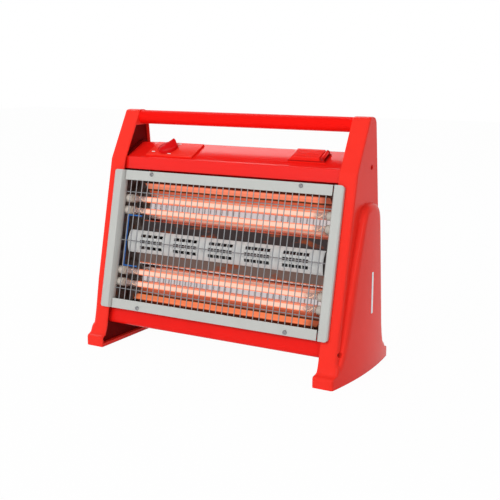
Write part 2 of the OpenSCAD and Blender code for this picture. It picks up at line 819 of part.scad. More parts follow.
// Heating tubes
module on_tube(i) {
    on_front() translate([0, tube_v[i], -tube_depth]) children();
}
module quartz_tube(i) {
    color("linen") on_tube(i) difference() {
        rod_x(tube_shift - tube_half, tube_shift + tube_half, tube_d);
        rod_x(-end_x, end_x, tube_d - 2 * tube_wall);
    }
}
module quartz_tube_1() {
    quartz_tube(0);
}
module quartz_tube_2() {
    quartz_tube(1);
}
module quartz_tube_3() {
    quartz_tube(2);
}
module quartz_tube_4() {
    quartz_tube(3);
}
module tube_cap_group(inner_x) {
    for (i = [0 : 3]) on_tube(i) difference() {
        union() {
            rod_x(inner_x, end_x - fit, cap_d);
            rod_x(end_x - over, end_x + plate_t + over, cap_groove_d);
            rod_x(end_x + plate_t + fit, end_x + plate_t + cap_outer_len, cap_d);
        }
        rod_x(inner_x - over, inner_x + cap_socket, tube_d + 2 * fit);
    }
}
module left_tube_caps() {
    color("tan") mirror_left(true) tube_cap_group(cap_inner_x - tube_shift);
}
module right_tube_caps() {
    color("tan") tube_cap_group(cap_inner_x + tube_shift);
}

// A heating coil is one wire: a straight tail, the turns, and another tail
coil_sides = 6;
coil_rings_per_turn = 8;
coil_pitch = 2 * coil_half / coil_turns;
coil_steps = coil_turns * coil_rings_per_turn;
function coil_angle(k) = 360 * k / coil_rings_per_turn;
function coil_point(k) = [-coil_half + k * coil_pitch / coil_rings_per_turn,
    coil_r * cos(coil_angle(k)), coil_r * sin(coil_angle(k))];
function coil_run(k) = unit([coil_pitch / 360, -coil_r * sin(coil_angle(k)) * PI / 180,
    coil_r * cos(coil_angle(k)) * PI / 180]);
function ring(c, run, k) = let (n = [0, cos(coil_angle(k)), sin(coil_angle(k))], b = cross(run, n))
    [for (j = [0 : coil_sides - 1]) let (a = 360 * j / coil_sides)
        c + coil_wire_d / 2 * (cos(a) * n + sin(a) * b)];
function tail_ring(k, x) = ring(coil_point(k) + [x, 0, 0], [1, 0, 0], k);
coil_tail = 3 * coil_wire_d;
coil_rings = concat(
    [tail_ring(0, -coil_tail), tail_ring(0, -coil_wire_d)],
    [for (k = [1 : coil_steps - 1]) ring(coil_point(k), coil_run(k), k)],
    [tail_ring(coil_steps, coil_wire_d), tail_ring(coil_steps, coil_tail)]);
// Least distance between points half a turn or more apart along the wire, less its thickness
coil_gap = min([for (k = [0 : coil_rings_per_turn])
    for (m = [k + coil_rings_per_turn / 2 : k + 2 * coil_rings_per_turn])
        norm(coil_point(m) - coil_point(k))]) - coil_wire_d;
module heating_coil(i) {
    n = len(coil_rings);
    points = [for (r = coil_rings) each r];
    faces = concat(
        [for (j = [1 : coil_sides - 2]) [0, j, j + 1]],
        [for (k = [0 : n - 2]) for (j = [0 : coil_sides - 1])
            let (a = k * coil_sides, b = a + coil_sides, q = (j + 1) % coil_sides)
            each [[a + j, b + j, a + q], [a + q, b + j, b + q]]],
        [for (j = [1 : coil_sides - 2]) let (a = (n - 1) * coil_sides) [a, a + j + 1, a + j]]);
    echo(least_coil_gap = coil_gap);
    color("orange") on_tube(i) translate([tube_shift, 0, 0]) polyhedron(points, faces, 4);
}
module heating_coil_1() {
    heating_coil(0);
}
module heating_coil_2() {
    heating_coil(1);
}
module heating_coil_3() {
    heating_coil(2);
}
module heating_coil_4() {
    heating_coil(3);
}

// Fan
module on_fan() {
    on_front() translate([0, -unit_drop, -fan_depth]) children();
}
module fan_housing() {
    front = fan_depth - chassis_depth - plate_t - gap;
    mouth = louvre_h / 2;
    end = housing_half + eps;
    guide = concat([[-mouth, front]], arc([0, 0], housing_r, 180, 320, 20));
    tongue = [[mouth, front], [mouth + 2, front / 2], [mouth + 7, front / 2 - 2]];
    color("darkgray") on_fan() difference() {
        union() {
            along_x(-end, end) polygon(strip(guide, 0, plate_t));
            along_x(-end, end) polygon(strip(tongue, -plate_t, 0));
            for (x = [-housing_half - plate_t, housing_half]) along_x(x, x + plate_t)
                polygon([[-housing_side, -housing_side], [housing_side, -housing_side],
                    [housing_side, front], [-housing_side, front]]);
        }
        rod_x(-motor_x, motor_x, bearing_d + 2 * fit);
    }
}
module bearing() {
    flange_t = 2.7;
    flange_x = housing_half - gap - flange_t;
    color("goldenrod") on_fan() difference() {
        union() {
            rod_x(flange_x, flange_x + bearing_len, bearing_d);
            rod_x(flange_x, flange_x + flange_t, bearing_d + 4);
        }
        rod_x(flange_x - over, flange_x + bearing_len + over, shaft_d + 2 * fit);
    }
}
module left_fan_bearing() {
    mirror_left(true) bearing();
}
module right_fan_bearing() {
    bearing();
}
module fan_shaft() {
    color("silver") on_fan() rod_x(-housing_half - shaft_past, motor_x + stack_t + shaft_past, shaft_d);
}
module fan_wheel() {
    disc_t = 1.5;
    blade_t = 1;
    blade_angle = 30;
    hub_len = 8;
    hub_d = shaft_d + 8;
    color("dimgray") on_fan() difference() {
        union() {
            for (x = [-fan_half, -disc_t / 2, fan_half - disc_t]) rod_x(x, x + disc_t, fan_d);
            for (x = [-fan_half, fan_half - hub_len]) rod_x(x, x + hub_len, hub_d);
            for (i = [0 : blade_count - 1]) rotate([i * 360 / blade_count, 0, 0])
                translate([-fan_half, 0, fan_d / 2 - blade_w]) rotate([blade_angle, 0, 0])
                    cube([2 * fan_half, blade_t, blade_w]);
        }
        rod_x(-fan_half - over, fan_half + over, shaft_d + 2 * fit);
    }
}
module motor_armature() {
    color("slategray") on_fan() difference() {
        rod_x(motor_x, motor_x + stack_t, armature_d);
        rod_x(motor_x - over, motor_x + stack_t + over, shaft_d + 2 * fit);
    }
}
module motor_stack() {
    air = 0.4;
    pillar_d = 6;
    head_v = armature_d / 2 + pillar_d;
    window_v = stack_reach - stack_bar;
    window_h = window_v - armature_d / 2 - stack_bar;
    window_half = stack_half - stack_bar;
    color("gray") on_fan() {
        difference() {
            translate([motor_x, -stack_reach, -stack_half])
                cube([stack_t, stack_reach + head_v, 2 * stack_half]);
            rod_x(motor_x - over, motor_x + stack_t + over, armature_d + 2 * air);
            translate([motor_x - over, -window_v, -window_half])
                cube([stack_t + 2 * over, window_h, 2 * window_half]);
        }
        for (w = [-1, 1]) translate([0, head_v - pillar_d + over, w * (stack_half - pillar_d + over)])
            rod_x(housing_half + plate_t + fit, motor_x + eps, pillar_d);
    }
}
module motor_winding() {
    half = stack_half - stack_bar - 2;
    color("peru") on_fan() translate([motor_x, -stack_reach, 0]) difference() {
        translate([-winding_t, -winding_t, -half])
            cube([stack_t + 2 * winding_t, stack_bar + 2 * winding_t, 2 * half]);
        translate([-gap, -gap, -half - over])
            cube([stack_t + 2 * gap, stack_bar + 2 * gap, 2 * half + 2 * over]);
    }
}

// Controls
module at_knob() {
    on_slope() translate([knob_x, knob_v, 0]) children();
}
module control_plate() {
    color("red") difference() {
        on_slope() translate([control_x, control_front, fit]) cube([control_w, control_len, control_t]);
        at_knob() translate([0, 0, -over]) cylinder(d = shaft_hole_d, h = control_t + 2 * over);
    }
}
module switch_body() {
    top = -sheet_t - fit;
    color("black") at_knob() difference() {
        translate([-switch_side / 2, -switch_side / 2, top - switch_h])
            cube([switch_side, switch_side, switch_h]);
        translate([0, 0, top - switch_h / 2]) cylinder(d = switch_shaft_d + 2 * fit, h = switch_h);
    }
}
module switch_shaft() {
    base = -sheet_t - switch_h / 2 + gap;
    color("silver") at_knob() translate([0, 0, base])
        cylinder(d = switch_shaft_d, h = control_t + knob_bore - base);
}
module knob() {
    base = control_t + gap;
    top = base + knob_h + grip_h;
    r = knob_d / 2;
    color("red") at_knob() difference() {
        union() {
            translate([0, 0, base]) cylinder(r = r, h = knob_h);
            rotate([0, 0, grip_angle]) intersection() {
                translate([0, 0, base + over]) cylinder(r = r - 1, h = knob_h + grip_h);
                along_y(-r, r) polygon([[-r, base + knob_h / 2], [r, base + knob_h / 2], [r, top],
                    [r - grip_flat, top], [-r, base + knob_h + 1]]);
                along_x(-r, r) polygon([[-grip_foot / 2, base + knob_h / 2], [grip_foot / 2, base + knob_h / 2],
                    [grip_w / 2, top + over], [-grip_w / 2, top + over]]);
            }
        }
        translate([0, 0, base - over]) cylinder(d = switch_shaft_d + 2 * fit, h = knob_bore + over);
    }
}

// Humidifier
module tank_prism(inset, z) {
    tall = 60;
    translate([tank_x0 + inset, tank_front + inset, z])
        cube([tank_x1 - tank_x0 - 2 * inset, tank_back - tank_front - 2 * inset, tall]);
}
module bezel_plan(h, t) {
    on_slope() translate([lid_x - bezel_margin, lid_from_front - bezel_margin + over, h])
        cube([hinge_x + knuckle_r + 2 * bezel_margin - lid_x, lid_w + 2 * bezel_margin - 2 * over, t]);
}
module at_hinge(v) {
    on_slope() translate([hinge_x, v, hinge_h]) rotate([-90, 0, 0]) children();
}
module water_tank() {
    color("whitesmoke") difference() {
        union() {
            bezel_plan(fit, tank_rim_t);
            intersection() {
                tank_prism(0, tank_floor);
                on_slope() translate([0, -slope_len, -slope_len])
                    cube([half_gap, 3 * slope_len, slope_len + tank_rim_t]);
            }
        }
        tank_prism(tank_wall, tank_floor + tank_wall);
    }
}
module tank_bezel() {
    color("red") difference() {
        union() {
            difference() {
                bezel_plan(fit + tank_rim_t + fit, bezel_t - fit);
                tank_prism(0, tank_floor);
            }
            for (v = [lid_from_front, lid_from_front + lid_w - ear_t]) {
                on_slope() translate([hinge_x - knuckle_r, v, bezel_top - eps])
                    cube([2 * knuckle_r, ear_t, hinge_h - bezel_top + eps]);
                at_hinge(v) cylinder(r = knuckle_r, h = ear_t);
            }
        }
        at_hinge(0) cylinder(d = lid_pin_d + 2 * fit, h = slope_len);
    }
}
module lid_pin() {
    color("silver") at_hinge(lid_from_front) cylinder(d = lid_pin_d, h = lid_w);
}
module tank_lid() {
    base = bezel_top + gap;
    edge = 1.5;
    groove_deep = 0.8;
    strap_t = 2;
    knuckle_v = lid_from_front + ear_t + gap;
    knuckle_w = lid_w - 2 * ear_t - 2 * gap;
    color("red") difference() {
        union() {
            on_slope() translate([0, lid_from_front, 0]) along_y(0, lid_w) polygon([[lid_x, base],
                [lid_end_x, base], [lid_end_x, base + lid_h], [lid_x + lid_ramp, base + lid_h],
                [lid_x, base + edge]]);
            at_hinge(knuckle_v) cylinder(r = knuckle_r, h = knuckle_w);
            on_slope() translate([lid_end_x - over, knuckle_v, base + over])
                cube([hinge_x - lid_end_x + over, knuckle_w, strap_t]);
        }
        at_hinge(0) cylinder(d = lid_pin_d + 2 * fit, h = slope_len);
        on_slope() for (i = [1 : 3])
            translate([lid_x + 2 * lid_ramp, lid_from_front + i * lid_w / 4 - groove_w / 2,
                base + lid_h - groove_deep]) cube([lid_len - 3 * lid_ramp, groove_w, groove_deep + over]);
    }
}

// Safety devices and wiring
tilt_y = 15;
tilt_pin_d = 2;
tilt_case = [34, 14, 34];
tilt_wall = 2;
tray_top = base_z + 2 * sheet_t + 2 * fit;
tilt_pin_z = tray_top + tilt_case[2] - 7;
module at_tilt_pin(y) {
    translate([tilt_x, tilt_y + y, tilt_pin_z]) rotate([-90, 0, 0]) children();
}
module tilt_switch_case() {
    color("ivory") difference() {
        translate([tilt_x - tilt_case[0] / 2, tilt_y, tray_top]) difference() {
            cube(tilt_case);
            translate([tilt_wall, tilt_wall, tilt_wall])
                cube(tilt_case - [2 * tilt_wall, 2 * tilt_wall, 0]);
        }
        at_tilt_pin(-over) cylinder(d = tilt_pin_d + 2 * fit, h = tilt_case[1] + 2 * over);
    }
}
module tilt_pin() {
    color("silver") at_tilt_pin(0) cylinder(d = tilt_pin_d, h = tilt_case[1]);
}
module tilt_pendulum() {
    t = tilt_case[1] - 2 * tilt_wall - 2 * gap;
    arm_w = 3;
    color("gray") at_tilt_pin(tilt_wall + gap) difference() {
        union() {
            cylinder(d = tilt_pin_d + 4, h = t);
            translate([-arm_w / 2, 0, 0]) cube([arm_w, tilt_len, t]);
            translate([0, tilt_len, 0]) cylinder(d = tilt_bob_d, h = t);
        }
        translate([0, 0, -over]) cylinder(d = tilt_pin_d + 2 * fit, h = t + 2 * over);
    }
}
module thermal_cutout() {
    cutout_x = 60;
    body_h = 7;
    tag = [3, 1, 4.5];
    back = -reflector_depth - reflector_t - fit;
    color("black") on_front() translate([cutout_x, pair_offset - unit_drop, back]) mirror([0, 0, 1]) {
        cylinder(d = cutout_d, h = body_h);
        for (x = [-1, 1]) translate([x * cutout_d / 4 - tag[0] / 2, -tag[1] / 2, body_h - over])
            cube(tag);
    }
}
module terminal_block() {
    poles = 3;
    pitch = 9;
    rim = 1;
    size = [poles * pitch + 2 * rim, 18, 14];
    entry_d = 4;
    entry_z = 5;
    color("ivory") translate([gland_x - 45, back_y(base_z) - 45, tray_top]) difference() {
        cube(size);
        for (i = [0 : poles - 1]) translate([rim + (i + 0.5) * pitch, 0, entry_z]) {
            translate([0, -over, 0]) rotate([-90, 0, 0]) cylinder(d = entry_d, h = size[1] + 2 * over);
            translate([0, size[1] / 2, 0]) cylinder(d = entry_d, h = size[2]);
        }
    }
}
module heater_leads() {
    top = tube_v[1] - cap_d / 2 - lead_d / 2 - gap;
    bottom = tube_v[2] + cap_d / 2 + lead_d / 2 + gap;
    far = end_x - 6;
    near = reflector_left + 2;
    behind = 2;
    color("royalblue") on_front() translate([0, 0, -tube_depth - behind]) {
        for (v = [top, bottom]) translate([0, v, 0]) {
            rod_x(-far, -near, lead_d);
            translate([-far, 0, 0]) sphere(d = lead_d);
        }
        translate([-far, bottom, 0]) rotate([-90, 0, 0]) cylinder(d = lead_d, h = top - bottom);
    }
}
module gland_place() {
    translate([gland_x, rear_point(gland_z)[0], gland_z]) rotate([back_lean - 90, 0, 0]) children();
}
module cord_gland() {
    flange_t = 3;
    inside = 8;
    color("black") gland_place() difference() {
        union() {
            translate([0, 0, -inside]) cylinder(d = gland_d, h = inside + over);
            translate([0, 0, gap]) cylinder(d = gland_d + 5, h = flange_t);
            translate([0, 0, -inside]) cylinder(d = gland_d + 4, h = inside - sheet_t - gap);
        }
        translate([0, 0, -inside - over]) cylinder(d = gland_bore, h = inside + flange_t + 2 * over);
    }
}

left_side_shell();
right_side_shell();
left_inner_cover();
right_inner_cover();
left_blank_strip();
right_blank_strip();
handle_tube();
top_cover();
rear_cover();
lower_front_panel();
base_tray();
frame_top_rail();
frame_bottom_rail();
frame_left_stile();
frame_right_stile();
wire_guard();
frame_screws();
chassis_plate();
left_end_plate();
right_end_plate();
upper_reflector();
lower_reflector();
quartz_tube_1();
quartz_tube_2();
quartz_tube_3();
quartz_tube_4();
heating_coil_1();
heating_coil_2();
heating_coil_3();
heating_coil_4();
left_tube_caps();
right_tube_caps();
louvre_strip();
fan_housing();
left_fan_bearing();
right_fan_bearing();
fan_shaft();
fan_wheel();
motor_armature();
motor_stack();
motor_winding();
control_plate();
switch_body();
switch_shaft();
knob();
water_tank();
tank_bezel();
tank_lid();
lid_pin();
tilt_switch_case();
tilt_pendulum();
tilt_pin();
thermal_cutout();
terminal_block();
heater_leads();
cord_gland();
left_side_screws();
right_side_screws();
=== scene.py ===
import json
import math

import bpy
from mathutils import Matrix, Vector


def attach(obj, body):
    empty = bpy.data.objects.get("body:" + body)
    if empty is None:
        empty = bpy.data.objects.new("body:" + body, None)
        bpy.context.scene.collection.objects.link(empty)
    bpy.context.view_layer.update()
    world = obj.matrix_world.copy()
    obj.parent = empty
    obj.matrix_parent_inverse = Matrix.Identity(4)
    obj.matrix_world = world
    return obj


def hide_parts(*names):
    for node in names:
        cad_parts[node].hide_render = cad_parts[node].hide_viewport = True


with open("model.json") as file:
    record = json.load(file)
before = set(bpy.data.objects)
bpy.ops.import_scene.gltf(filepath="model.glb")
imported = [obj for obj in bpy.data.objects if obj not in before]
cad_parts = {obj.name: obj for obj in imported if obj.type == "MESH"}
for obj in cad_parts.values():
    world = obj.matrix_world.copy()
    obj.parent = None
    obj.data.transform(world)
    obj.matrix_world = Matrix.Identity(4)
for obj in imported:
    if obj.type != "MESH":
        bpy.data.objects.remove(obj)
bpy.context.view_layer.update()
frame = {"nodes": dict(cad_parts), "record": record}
nodes = frame["nodes"]
mm = 0.001
print("frame loaded with", len(nodes), "nodes")


def aim(piece, direction):
    piece.rotation_mode = "QUATERNION"
    piece.rotation_quaternion = Vector(direction).to_track_quat("-Z", "Y")


# camera where the photograph was taken from
cameraPlace = {
    "location": (0.7906, -1.3031, 0.4854),
    "direction": (-0.4922, 0.8470, -0.2009),
    "lens": 67.33,
    "sensor": 36,
}
bpy.ops.object.camera_add(location=cameraPlace["location"])
camera = bpy.context.object
aim(camera, cameraPlace["direction"])
camera.data.lens = cameraPlace["lens"]
camera.data.sensor_width = cameraPlace["sensor"]
bpy.context.scene.camera = camera
bpy.context.scene.view_settings.view_transform = "Standard"
print("camera set")


# a place to model on, in millimetres: across, up the sheet, out of the sheet
def sheetPlace(run, rise, y, z):
    return Matrix(((1, 0, 0, 0), (0, run, -rise, y), (0, rise, run, z), (0, 0, 0, 1)))


frontRun, frontRise = 0.21985, 0.97553  # back and up, for each step up the leaning front
frontPlace = sheetPlace(frontRun, frontRise, -53.288, 182.424)
slopePlace = sheetPlace(0.90557, 0.42420, -11.0, 321.3)

# how meshes are cleaned and smoothed: metres and degrees
edgeWork = {"angle": 35, "weldPanel": 0.00001, "weldCad": 0.000002, "flat": 0.4}


def clearSelection():
    if bpy.context.object and bpy.context.object.mode != "OBJECT":
        bpy.ops.object.mode_set(mode="OBJECT")
    bpy.ops.object.select_all(action="DESELECT")


def pick(piece):
    clearSelection()
    piece.select_set(True)
    bpy.context.view_layer.objects.active = piece


def named(name):
    piece = bpy.context.object
    piece.name = name
    piece.data.name = name
    return piece


def startSelecting(kind):
    bpy.ops.object.mode_set(mode="EDIT")
    bpy.ops.mesh.select_mode(type=kind)
    bpy.ops.mesh.select_all(action="DESELECT")
    bpy.ops.object.mode_set(mode="OBJECT")


def selectFaces(piece, test):  # test gets the normal of each face
    startSelecting("FACE")
    for face in piece.data.polygons:
        face.select = bool(test(face.normal))
    bpy.ops.object.mode_set(mode="EDIT")


def selectEdges(piece, test):  # test gets the two ends of each edge
    startSelecting("EDGE")
    points = piece.data.vertices
    for edge in piece.data.edges:
        edge.select = bool(test(points[edge.vertices[0]].co, points[edge.vertices[1]].co))
    bpy.ops.object.mode_set(mode="EDIT")


def modify(piece, kind, **settings):
    pick(piece)
    tool = piece.modifiers.new(kind.lower(), kind)
    for name, value in settings.items():
        setattr(tool, name, value)
    bpy.ops.object.modifier_apply(modifier=tool.name)


def smooth(piece, degrees):
    pick(piece)
    bpy.ops.object.shade_smooth_by_angle(angle=math.radians(degrees))


def breakEdges(piece, width, segments, clamp=True):
    modify(piece, "BEVEL", width=width, segments=segments, limit_method="ANGLE",
           angle_limit=math.radians(edgeWork["angle"]), use_clamp_overlap=clamp)
    smooth(piece, edgeWork["angle"])


def combine(piece, tool, operation="DIFFERENCE"):
    modify(piece, "BOOLEAN", object=tool, operation=operation, solver="EXACT")
    bpy.data.objects.remove(tool)


def settle():
    bpy.ops.object.transform_apply(location=True, rotation=True, scale=True)


def place(piece, where):  # from millimetres on a place to metres in the frame
    pick(piece)
    piece.matrix_world = Matrix.Scale(mm, 4) @ where
    settle()


def joined(pieces, name):
    clearSelection()
    for piece in pieces:
        piece.select_set(True)
    bpy.context.view_layer.objects.active = pieces[0]
    bpy.ops.object.join()
    return named(name)


def editAll(piece):
    pick(piece)
    bpy.ops.object.mode_set(mode="EDIT")
    bpy.ops.mesh.select_all(action="SELECT")


def closeUp(piece):
    editAll(piece)
    bpy.ops.mesh.remove_doubles(threshold=edgeWork["weldPanel"])
    bpy.ops.mesh.fill_holes(sides=0)
    bpy.ops.mesh.select_all(action="SELECT")
    bpy.ops.mesh.normals_make_consistent(inside=False)
    bpy.ops.object.mode_set(mode="OBJECT")


def softCopy(cadNode, name, width):  # a CAD piece with its edges broken
    source = nodes[cadNode]
    piece = bpy.data.objects.new(name, source.data.copy())
    piece.data.name = name
    bpy.context.collection.objects.link(piece)
    piece.matrix_world = source.matrix_world
    editAll(piece)
    bpy.ops.mesh.remove_doubles(threshold=edgeWork["weldCad"])
    bpy.ops.mesh.dissolve_limited(angle_limit=math.radians(edgeWork["flat"]))
    bpy.ops.object.mode_set(mode="OBJECT")
    breakEdges(piece, width * mm, 2, clamp=False)
    modify(piece, "WEIGHTED_NORMAL", keep_sharp=True)  # the flats stay flat
    return piece


finishes = {}  # every material by its name


def standFor(piece, body, slot, finish, *cadNodes):
    piece.data.materials.clear()
    piece.data.materials.append(finishes[finish])
    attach(piece, body)
    if cadNodes:
        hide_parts(*cadNodes)


# a socket that takes part in sums
class Link:
    def __init__(self, paint, socket):
        self.paint = paint
        self.socket = socket

    def __add__(self, other):
        return self.paint.maths("ADD", self, other)

    def __sub__(self, other):
        return self.paint.maths("SUBTRACT", self, other)

    def __mul__(self, other):
        return self.paint.maths("MULTIPLY", self, other)


# a material with its shader, or the tree of the world
class Paint:
    def __init__(self, name, tree=None, **sockets):
        if tree is None:
            self.material = bpy.data.materials.new(name)
            self.material.use_nodes = True
            tree = self.material.node_tree
        self.tree = tree
        self.shader = tree.nodes.get("Principled BSDF")
        for socket, value in sockets.items():
            self.put(socket.replace("_", " "), value)

    def node(self, kind, settings=None, values=None, out=0):
        made = self.tree.nodes.new(kind)
        for name, value in (settings or {}).items():
            setattr(made, name, value)
        for name, value in (values or {}).items():
            self.join(made.inputs[name], value)
        return Link(self, made.outputs[out])

    def join(self, socket, value):
        if isinstance(value, Link):
            self.tree.links.new(value.socket, socket)
        else:
            socket.default_value = value

    def put(self, socket, value):
        self.join(self.shader.inputs[socket], value)

    def maths(self, operation, *values):
        return self.node("ShaderNodeMath", {"operation": operation}, dict(enumerate(values)))

    def part(self, vector, name):
        return self.node("ShaderNodeSeparateXYZ", None, {0: vector}, name)

    def axis(self, name):  # one Object coordinate, in metres
        return self.part(self.node("ShaderNodeTexCoord", out="Object"), name)

    def spot(self, size=(1, 1, 1)):  # Object coordinates, stretched
        here = self.node("ShaderNodeTexCoord", out="Object")
        return self.node("ShaderNodeMapping", None, {"Vector": here, "Scale": size})

    def noise(self, scale, detail, size=(1, 1, 1)):
        return self.node("ShaderNodeTexNoise", None,
                         {"Vector": self.spot(size), "Scale": scale, "Detail": detail})

    def cells(self, scale):  # one value for each small cell
        colour = self.node("ShaderNodeTexVoronoi", {"feature": "F1"},
                           {"Vector": self.spot(), "Scale": scale}, "Color")
        return self.node("ShaderNodeSeparateColor", None, {0: colour})

    def between(self, value, low, high, start=0.0, end=1.0):
        return self.node("ShaderNodeMapRange", {"interpolation_type": "SMOOTHSTEP"},
                         {"Value": value, "From Min": low, "From Max": high, "To Min": start, "To Max": end})

    def mix(self, share, first, second):
        return self.node("ShaderNodeMix", {"data_type": "RGBA"}, {0: share, 6: first, 7: second}, 2)

    def vary(self, share, colour, low, high):
        return self.mix(share, shade(colour, low), shade(colour, high))

    def ramp(self, share, stops):  # stops are places from 0 to 1 with their colours
        made = self.tree.nodes.new("ShaderNodeValToRGB")
        elements = made.color_ramp.elements
        elements[0].position, elements[-1].position = stops[0][0], stops[-1][0]
        for spot, _ in stops[1:-1]:
            elements.new(spot)
        for element, (_, colour) in zip(elements, stops):
            element.color = shade(colour)
        self.join(made.inputs[0], share)
        return Link(self, made.outputs[0])

    def bump(self, height, strength, distance):
        values = {"Height": height, "Strength": strength, "Distance": distance}
        self.put("Normal", self.node("ShaderNodeBump", None, values, "Normal"))

    def seen(self):  # 1 for rays from the camera, mirrored or passing through
        rays = [self.node("ShaderNodeLightPath", out=name)
                for name in ("Is Camera Ray", "Is Glossy Ray", "Is Transmission Ray")]
        return self.maths("MAXIMUM", self.maths("MAXIMUM", rays[0], rays[1]), rays[2])

    def blend(self, share, first, second, output):
        whole = self.node("ShaderNodeMixShader", None, {0: share, 1: first, 2: second})
        self.join(self.tree.nodes[output].inputs["Surface"], whole)


def shade(colour, factor=1.0):
    return tuple(channel * factor for channel in colour) + (1,)


def makeFinishes(make, looks):
    for name, look in looks.items():
        finishes[name] = make(name, look)


# moulded plastic: a faint flow in the colour and a very fine spark texture
plasticLooks = {
    "redPlastic": {"colour": (0.97, 0.034, 0.021), "roughness": 0.24, "grain": 2600, "gloss": 0.10},
    "lidPlastic": {"colour": (0.94, 0.022, 0.014), "roughness": 0.20, "grain": 2600, "gloss": 0.50},
    # painted shade: the bezel's red is darkened to stand for the shadow line round the base of the lid
    "bezelPlastic": {"colour": (0.55, 0.009, 0.008), "roughness": 0.40, "grain": 2600, "gloss": 0.06},
    # painted shade: the same red plastic darkened for the inner covers, which sit deep in shadow in the recess
    # and inside the feet
    "darkRedPlastic": {"colour": (0.16, 0.003, 0.003), "roughness": 0.50, "grain": 1800, "gloss": 0.02},
    "handlePlastic": {"colour": (0.95, 0.008, 0.005), "roughness": 0.36, "grain": 2600, "gloss": 0.04},
    "knobPlastic": {"colour": (0.72, 0.004, 0.006), "roughness": 0.34, "grain": 2200, "gloss": 0.10},
    "blackPlastic": {"colour": (0.022, 0.022, 0.024), "roughness": 0.45, "grain": 1500, "gloss": 0.10},
    "whitePlastic": {"colour": (0.78, 0.77, 0.72), "roughness": 0.42, "grain": 1500, "gloss": 0.10},
}


def mouldedPlastic(name, look):
    paint = Paint(name, Specular_IOR_Level=look["gloss"])
    paint.put("Base Color", paint.vary(paint.noise(7, 2), look["colour"], 0.94, 1.05))
    paint.put("Roughness", paint.noise(42, 4) * 0.12 + (look["roughness"] - 0.06))
    paint.bump(paint.noise(look["grain"], 2), 0.10, 0.0002)
    return paint.material


makeFinishes(mouldedPlastic, plasticLooks)

# sprayed sheet: orange peel under a clear gloss
sheetLooks = {
    "redPaint": {"colour": (0.92, 0.012, 0.008), "roughness": 0.15, "peel": 420, "gloss": 0.27},
    # painted shade: a slightly darker, duller copy of the red paint for the lower front panel, which gets less
    # light from above
    "lowRedPaint": {"colour": (0.90, 0.012, 0.008), "roughness": 0.22, "peel": 420, "gloss": 0.12},
    "dialWhite": {"colour": (0.90, 0.89, 0.87), "roughness": 0.50, "peel": 900, "gloss": 0.20},
    "whiteEnamel": {"colour": (0.62, 0.63, 0.62), "roughness": 0.34, "peel": 380, "gloss": 0.20},
}


def sprayedSheet(name, look):
    paint = Paint(name, Specular_IOR_Level=look["gloss"])
    paint.put("Base Color", paint.vary(paint.noise(11, 2), look["colour"], 0.95, 1.04))
    paint.put("Roughness", paint.noise(60, 3) * 0.10 + (look["roughness"] - 0.05))
    paint.bump(paint.noise(look["peel"], 2), 0.06, 0.0004)
    return paint.material


makeFinishes(sprayedSheet, sheetLooks)

# satin silver paint with a fine metal flake
silverLooks = {"silverPaint": {"colour": (0.54, 0.55, 0.525), "flake": 5200, "roughness": 0.42}}


def silverSpray(name, look):
    paint = Paint(name, Metallic=0.25, Specular_IOR_Level=0.5)
    flake = paint.cells(look["flake"])
    share = flake * 0.55 + paint.noise(16, 3) * 0.45
    paint.put("Base Color", paint.vary(share, look["colour"], 0.90, 1.10))
    paint.put("Roughness", flake * 0.16 + (look["roughness"] - 0.08))
    paint.bump(paint.noise(900, 2), 0.05, 0.0002)
    return paint.material


makeFinishes(silverSpray, silverLooks)

# bare metals: drawn or rolled lines along one way, with small dull patches
plainLines = {"lines": (1, 1, 1), "scale": 900, "metallic": 1.0}
metalLooks = {
    "wireSteel": {"colour": (0.34, 0.345, 0.36), "roughness": 0.32, "lines": (0.2, 0.2, 0.05), "scale": 1500},
    "stripAluminium": {"colour": (0.74, 0.76, 0.79), "roughness": 0.28, "lines": (1, 1, 0.02), "scale": 2600,
                       "metallic": 0.85},
    "screwSteel": {"colour": (0.33, 0.33, 0.34), "roughness": 0.22},
    "darkScrew": {"colour": (0.10, 0.045, 0.045), "roughness": 0.45, "scale": 700, "metallic": 0.7},
    "fanAluminium": {"colour": (0.34, 0.34, 0.36), "roughness": 0.40},
    "motorSteel": {"colour": (0.34, 0.35, 0.37), "roughness": 0.42, "lines": (40, 1, 1), "scale": 60},
    "bearingBronze": {"colour": (0.56, 0.37, 0.17), "roughness": 0.38},
    "copperWinding": {"colour": (0.60, 0.24, 0.10), "roughness": 0.34, "lines": (1, 1, 30), "scale": 40,
                      "metallic": 0.9},
}


def bareMetal(name, look):
    look = {**plainLines, **look}
    dulling = 0.14
    paint = Paint(name, Metallic=look["metallic"])
    drawn = paint.noise(look["scale"], 4, look["lines"])
    patch = paint.noise(30, 4)
    paint.put("Base Color", paint.vary(patch, look["colour"], 0.84, 1.08))
    paint.put("Roughness", drawn * dulling + patch * dulling + (look["roughness"] - dulling))
    paint.bump(drawn, 0.08, 0.0002)
    return paint.material


makeFinishes(bareMetal, metalLooks)
